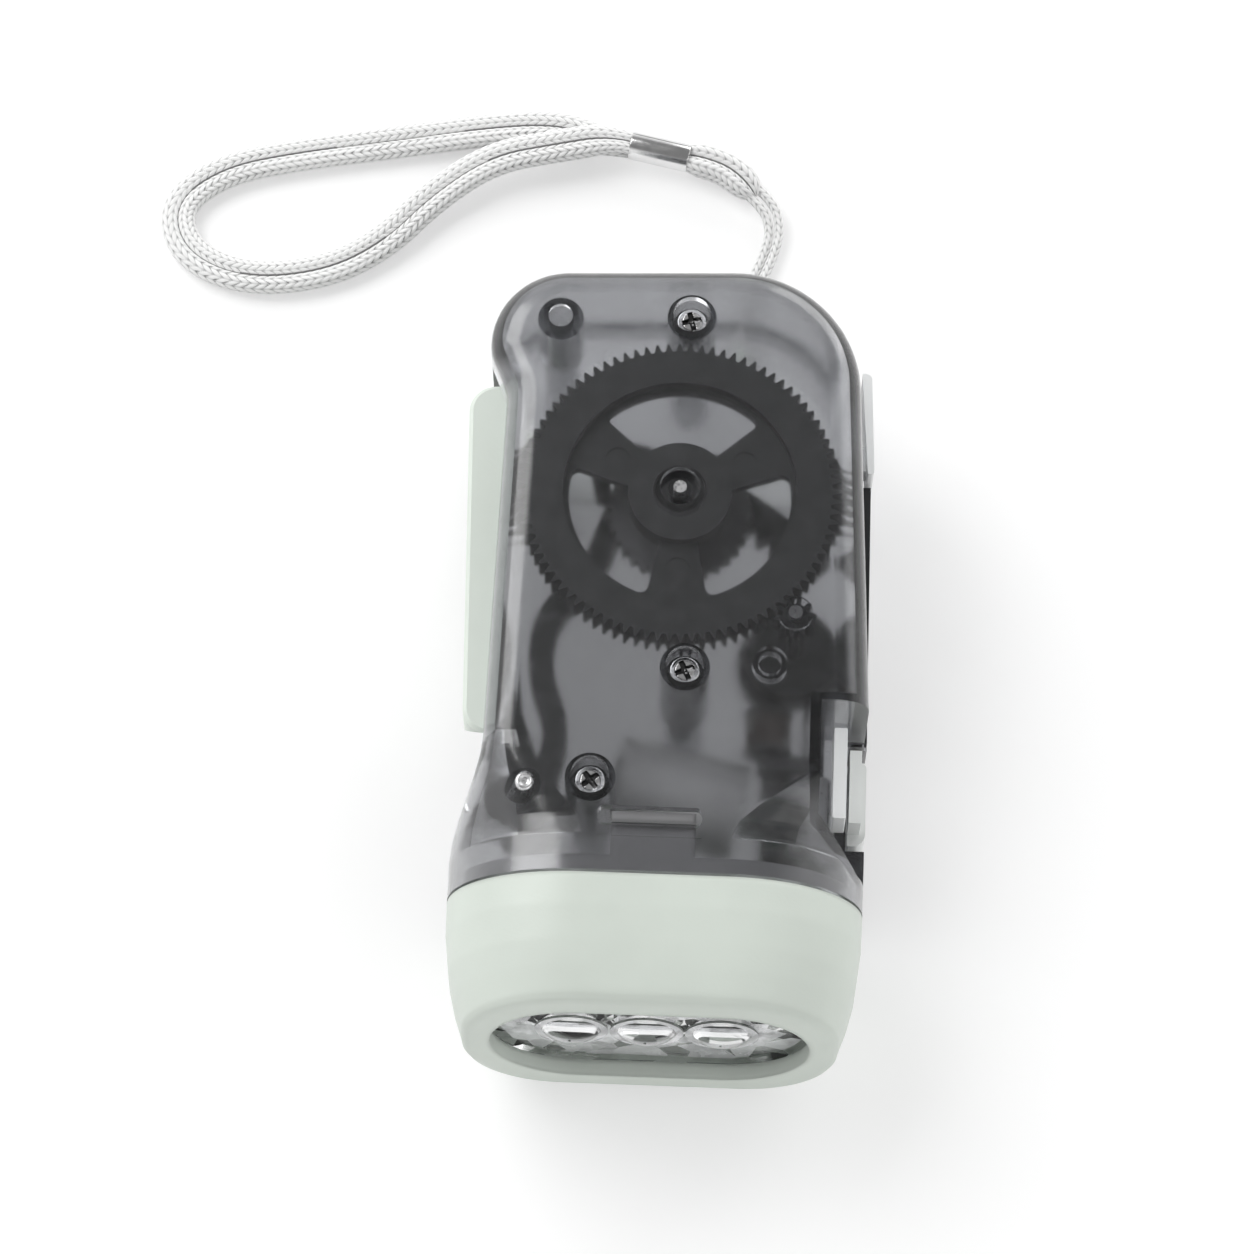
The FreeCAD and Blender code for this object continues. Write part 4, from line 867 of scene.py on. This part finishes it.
finishes = {
    "clear_shell": see_through(
        "smoke_clear", (0.80, 0.805, 0.82), roughness=0.17, ior=1.5,
        shadow_tint=(0.94, 0.94, 0.94), gloss=0.6, smoke=((0.1, 0.11, 0.14), 120),
    ),
    "white_plastic": moulded("pale_plastic", (0.74, 0.80, 0.735), roughness=0.42, **pale_grain),
    "clear_lens": see_through(
        "lens_clear", (0.98, 0.985, 0.99), roughness=0.03, ior=1.33,
        shadow_tint=(0.98, 0.98, 0.98), faceted=lens_front,
    ),
    "chrome_reflector": metal(
        "bright_reflector", (0.96, 0.96, 0.97), roughness=0.22, scale=420, depth=0.0004,
        tarnish=0.03, plating=0.4,
    ),
    "lamp_resin": milky("lamp_resin", (0.95, 0.95, 0.93), roughness=0.18),
    "green_board": printed_board(
        "green_board", lacquer=(0.012, 0.026, 0.018), track=(0.025, 0.045, 0.032),
    ),
    "black_plastic": moulded(
        "black_nylon", (0.014, 0.0145, 0.0155), roughness=0.55, grain=3000, depth=0.00002,
        variation=0.15,
    ),
    "dark_arm": moulded(
        "black_arm", (0.012, 0.012, 0.013), roughness=0.5, grain=2400, depth=0.00002,
        variation=0.15,
    ),
    "pinion_plastic": moulded(
        "grey_nylon", (0.09, 0.09, 0.095), roughness=0.5, grain=3000, depth=0.00002,
        variation=0.1,
    ),
    "steel": metal(
        "ground_steel", (0.72, 0.72, 0.73), roughness=0.28, depth=0.000001, tarnish=0.05,
    ),
    # The screws' cross recesses are darkened with painted shade
    "screw_steel": metal(
        "nickel_plate", (0.92, 0.92, 0.925), roughness=0.15, scale=2600, depth=0.0000005,
        tarnish=0.04, painted_recess_shade=True,
    ),
    "spring_steel": metal("spring_steel", (0.55, 0.55, 0.57), roughness=0.35),
    "magnet": moulded(
        "sintered_magnet", (0.07, 0.07, 0.075), roughness=0.45, grain=3500, depth=0.00003,
        variation=0.15,
    ),
    "core_steel": banded(
        "core_sheets", (0.12, 0.12, 0.125), (0.45, 0.45, 0.46), direction="Z", pitch=0.0005,
        metallic=1.0, roughness=0.4, depth=0.00003,
    ),
    "bobbin": moulded(
        "bobbin_nylon", (0.12, 0.12, 0.123), roughness=0.5, grain=2600, depth=0.00002,
        variation=0.1,
    ),
    "copper": banded(
        "copper_turns", (0.05, 0.042, 0.038), (0.20, 0.168, 0.152), direction="X",
        pitch=0.00018, metallic=0.6, roughness=0.35, depth=0.00004,
    ),
    "cell_steel": metal("cell_steel", (0.72, 0.72, 0.72), roughness=0.25),
    "sleeve_film": moulded(
        "sleeve_film", (0.46, 0.46, 0.465), roughness=0.35, grain=700, depth=0.00003,
        variation=0.1,
    ),
    "parts_mixed": moulded(
        "component_black", (0.05, 0.05, 0.052), roughness=0.5, grain=3000, depth=0.00002,
        variation=0.15,
    ),
    "switch_steel": metal("tinned_steel", (0.62, 0.62, 0.63), roughness=0.35),
    "plate_white": moulded("pale_switch", (0.92, 0.935, 0.93), roughness=0.4, **pale_grain),
    "wire_red": moulded(
        "wire_cover", (0.06, 0.06, 0.065), roughness=0.45, grain=1800, depth=0.00003,
        variation=0.1,
    ),
    "strap_cord": yarn("strap_yarn", yarn_gap_shade, yarn_crown),
    "string_cord": yarn("string_yarn", yarn_gap_shade, yarn_crown),
    "crimp_metal": metal(
        "crimp_steel", (0.80, 0.80, 0.80), roughness=0.18, scale=1500, depth=0.000002,
        tarnish=0.06,
    ),
}

# Nodes that look different from the others in their slot
own_finishes = {
    "bezel": moulded(
        "pale_bezel", (0.66, 0.715, 0.655), roughness=0.42,
        inner=(bezel_mouth, (0.20, 0.20, 0.205)), soften=0.0012, **pale_grain,
    ),
    "switch_knob": moulded("pale_knob", (0.82, 0.84, 0.825), roughness=0.4, **pale_grain),
    "rotor_pinion": moulded(
        "dark_pinion", (0.02, 0.02, 0.022), roughness=0.6, grain=3000, depth=0.00002,
        variation=0.1, specular=0.15,
    ),
    "rotor_shaft": metal("dark_shaft", (0.22, 0.22, 0.225), roughness=0.35, depth=0.000001),
}

for part in frame["record"]["subparts"]:
    for slot in nodes[part["node"]].material_slots:
        slot.link = "OBJECT"
        slot.material = own_finishes.get(part["node"], finishes[part["material_slot"]])


# What the new pieces stand for

new_pieces = [
    (strap, "strap_cord", "strap_loop"),
    (string, "string_cord", "string_loop"),
    (fold, "strap_cord", "strap_fold"),
    (crimp, "crimp_metal", "crimp_sleeve"),
    (pin, "steel", "lever_pin"),
]
new_pieces += [(piece, "screw_steel", "case_screws") for piece in screws]
for piece, slot_name, node in new_pieces:
    piece.data.materials.append(finishes[slot_name])
    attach(piece, "casing")
    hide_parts(node)
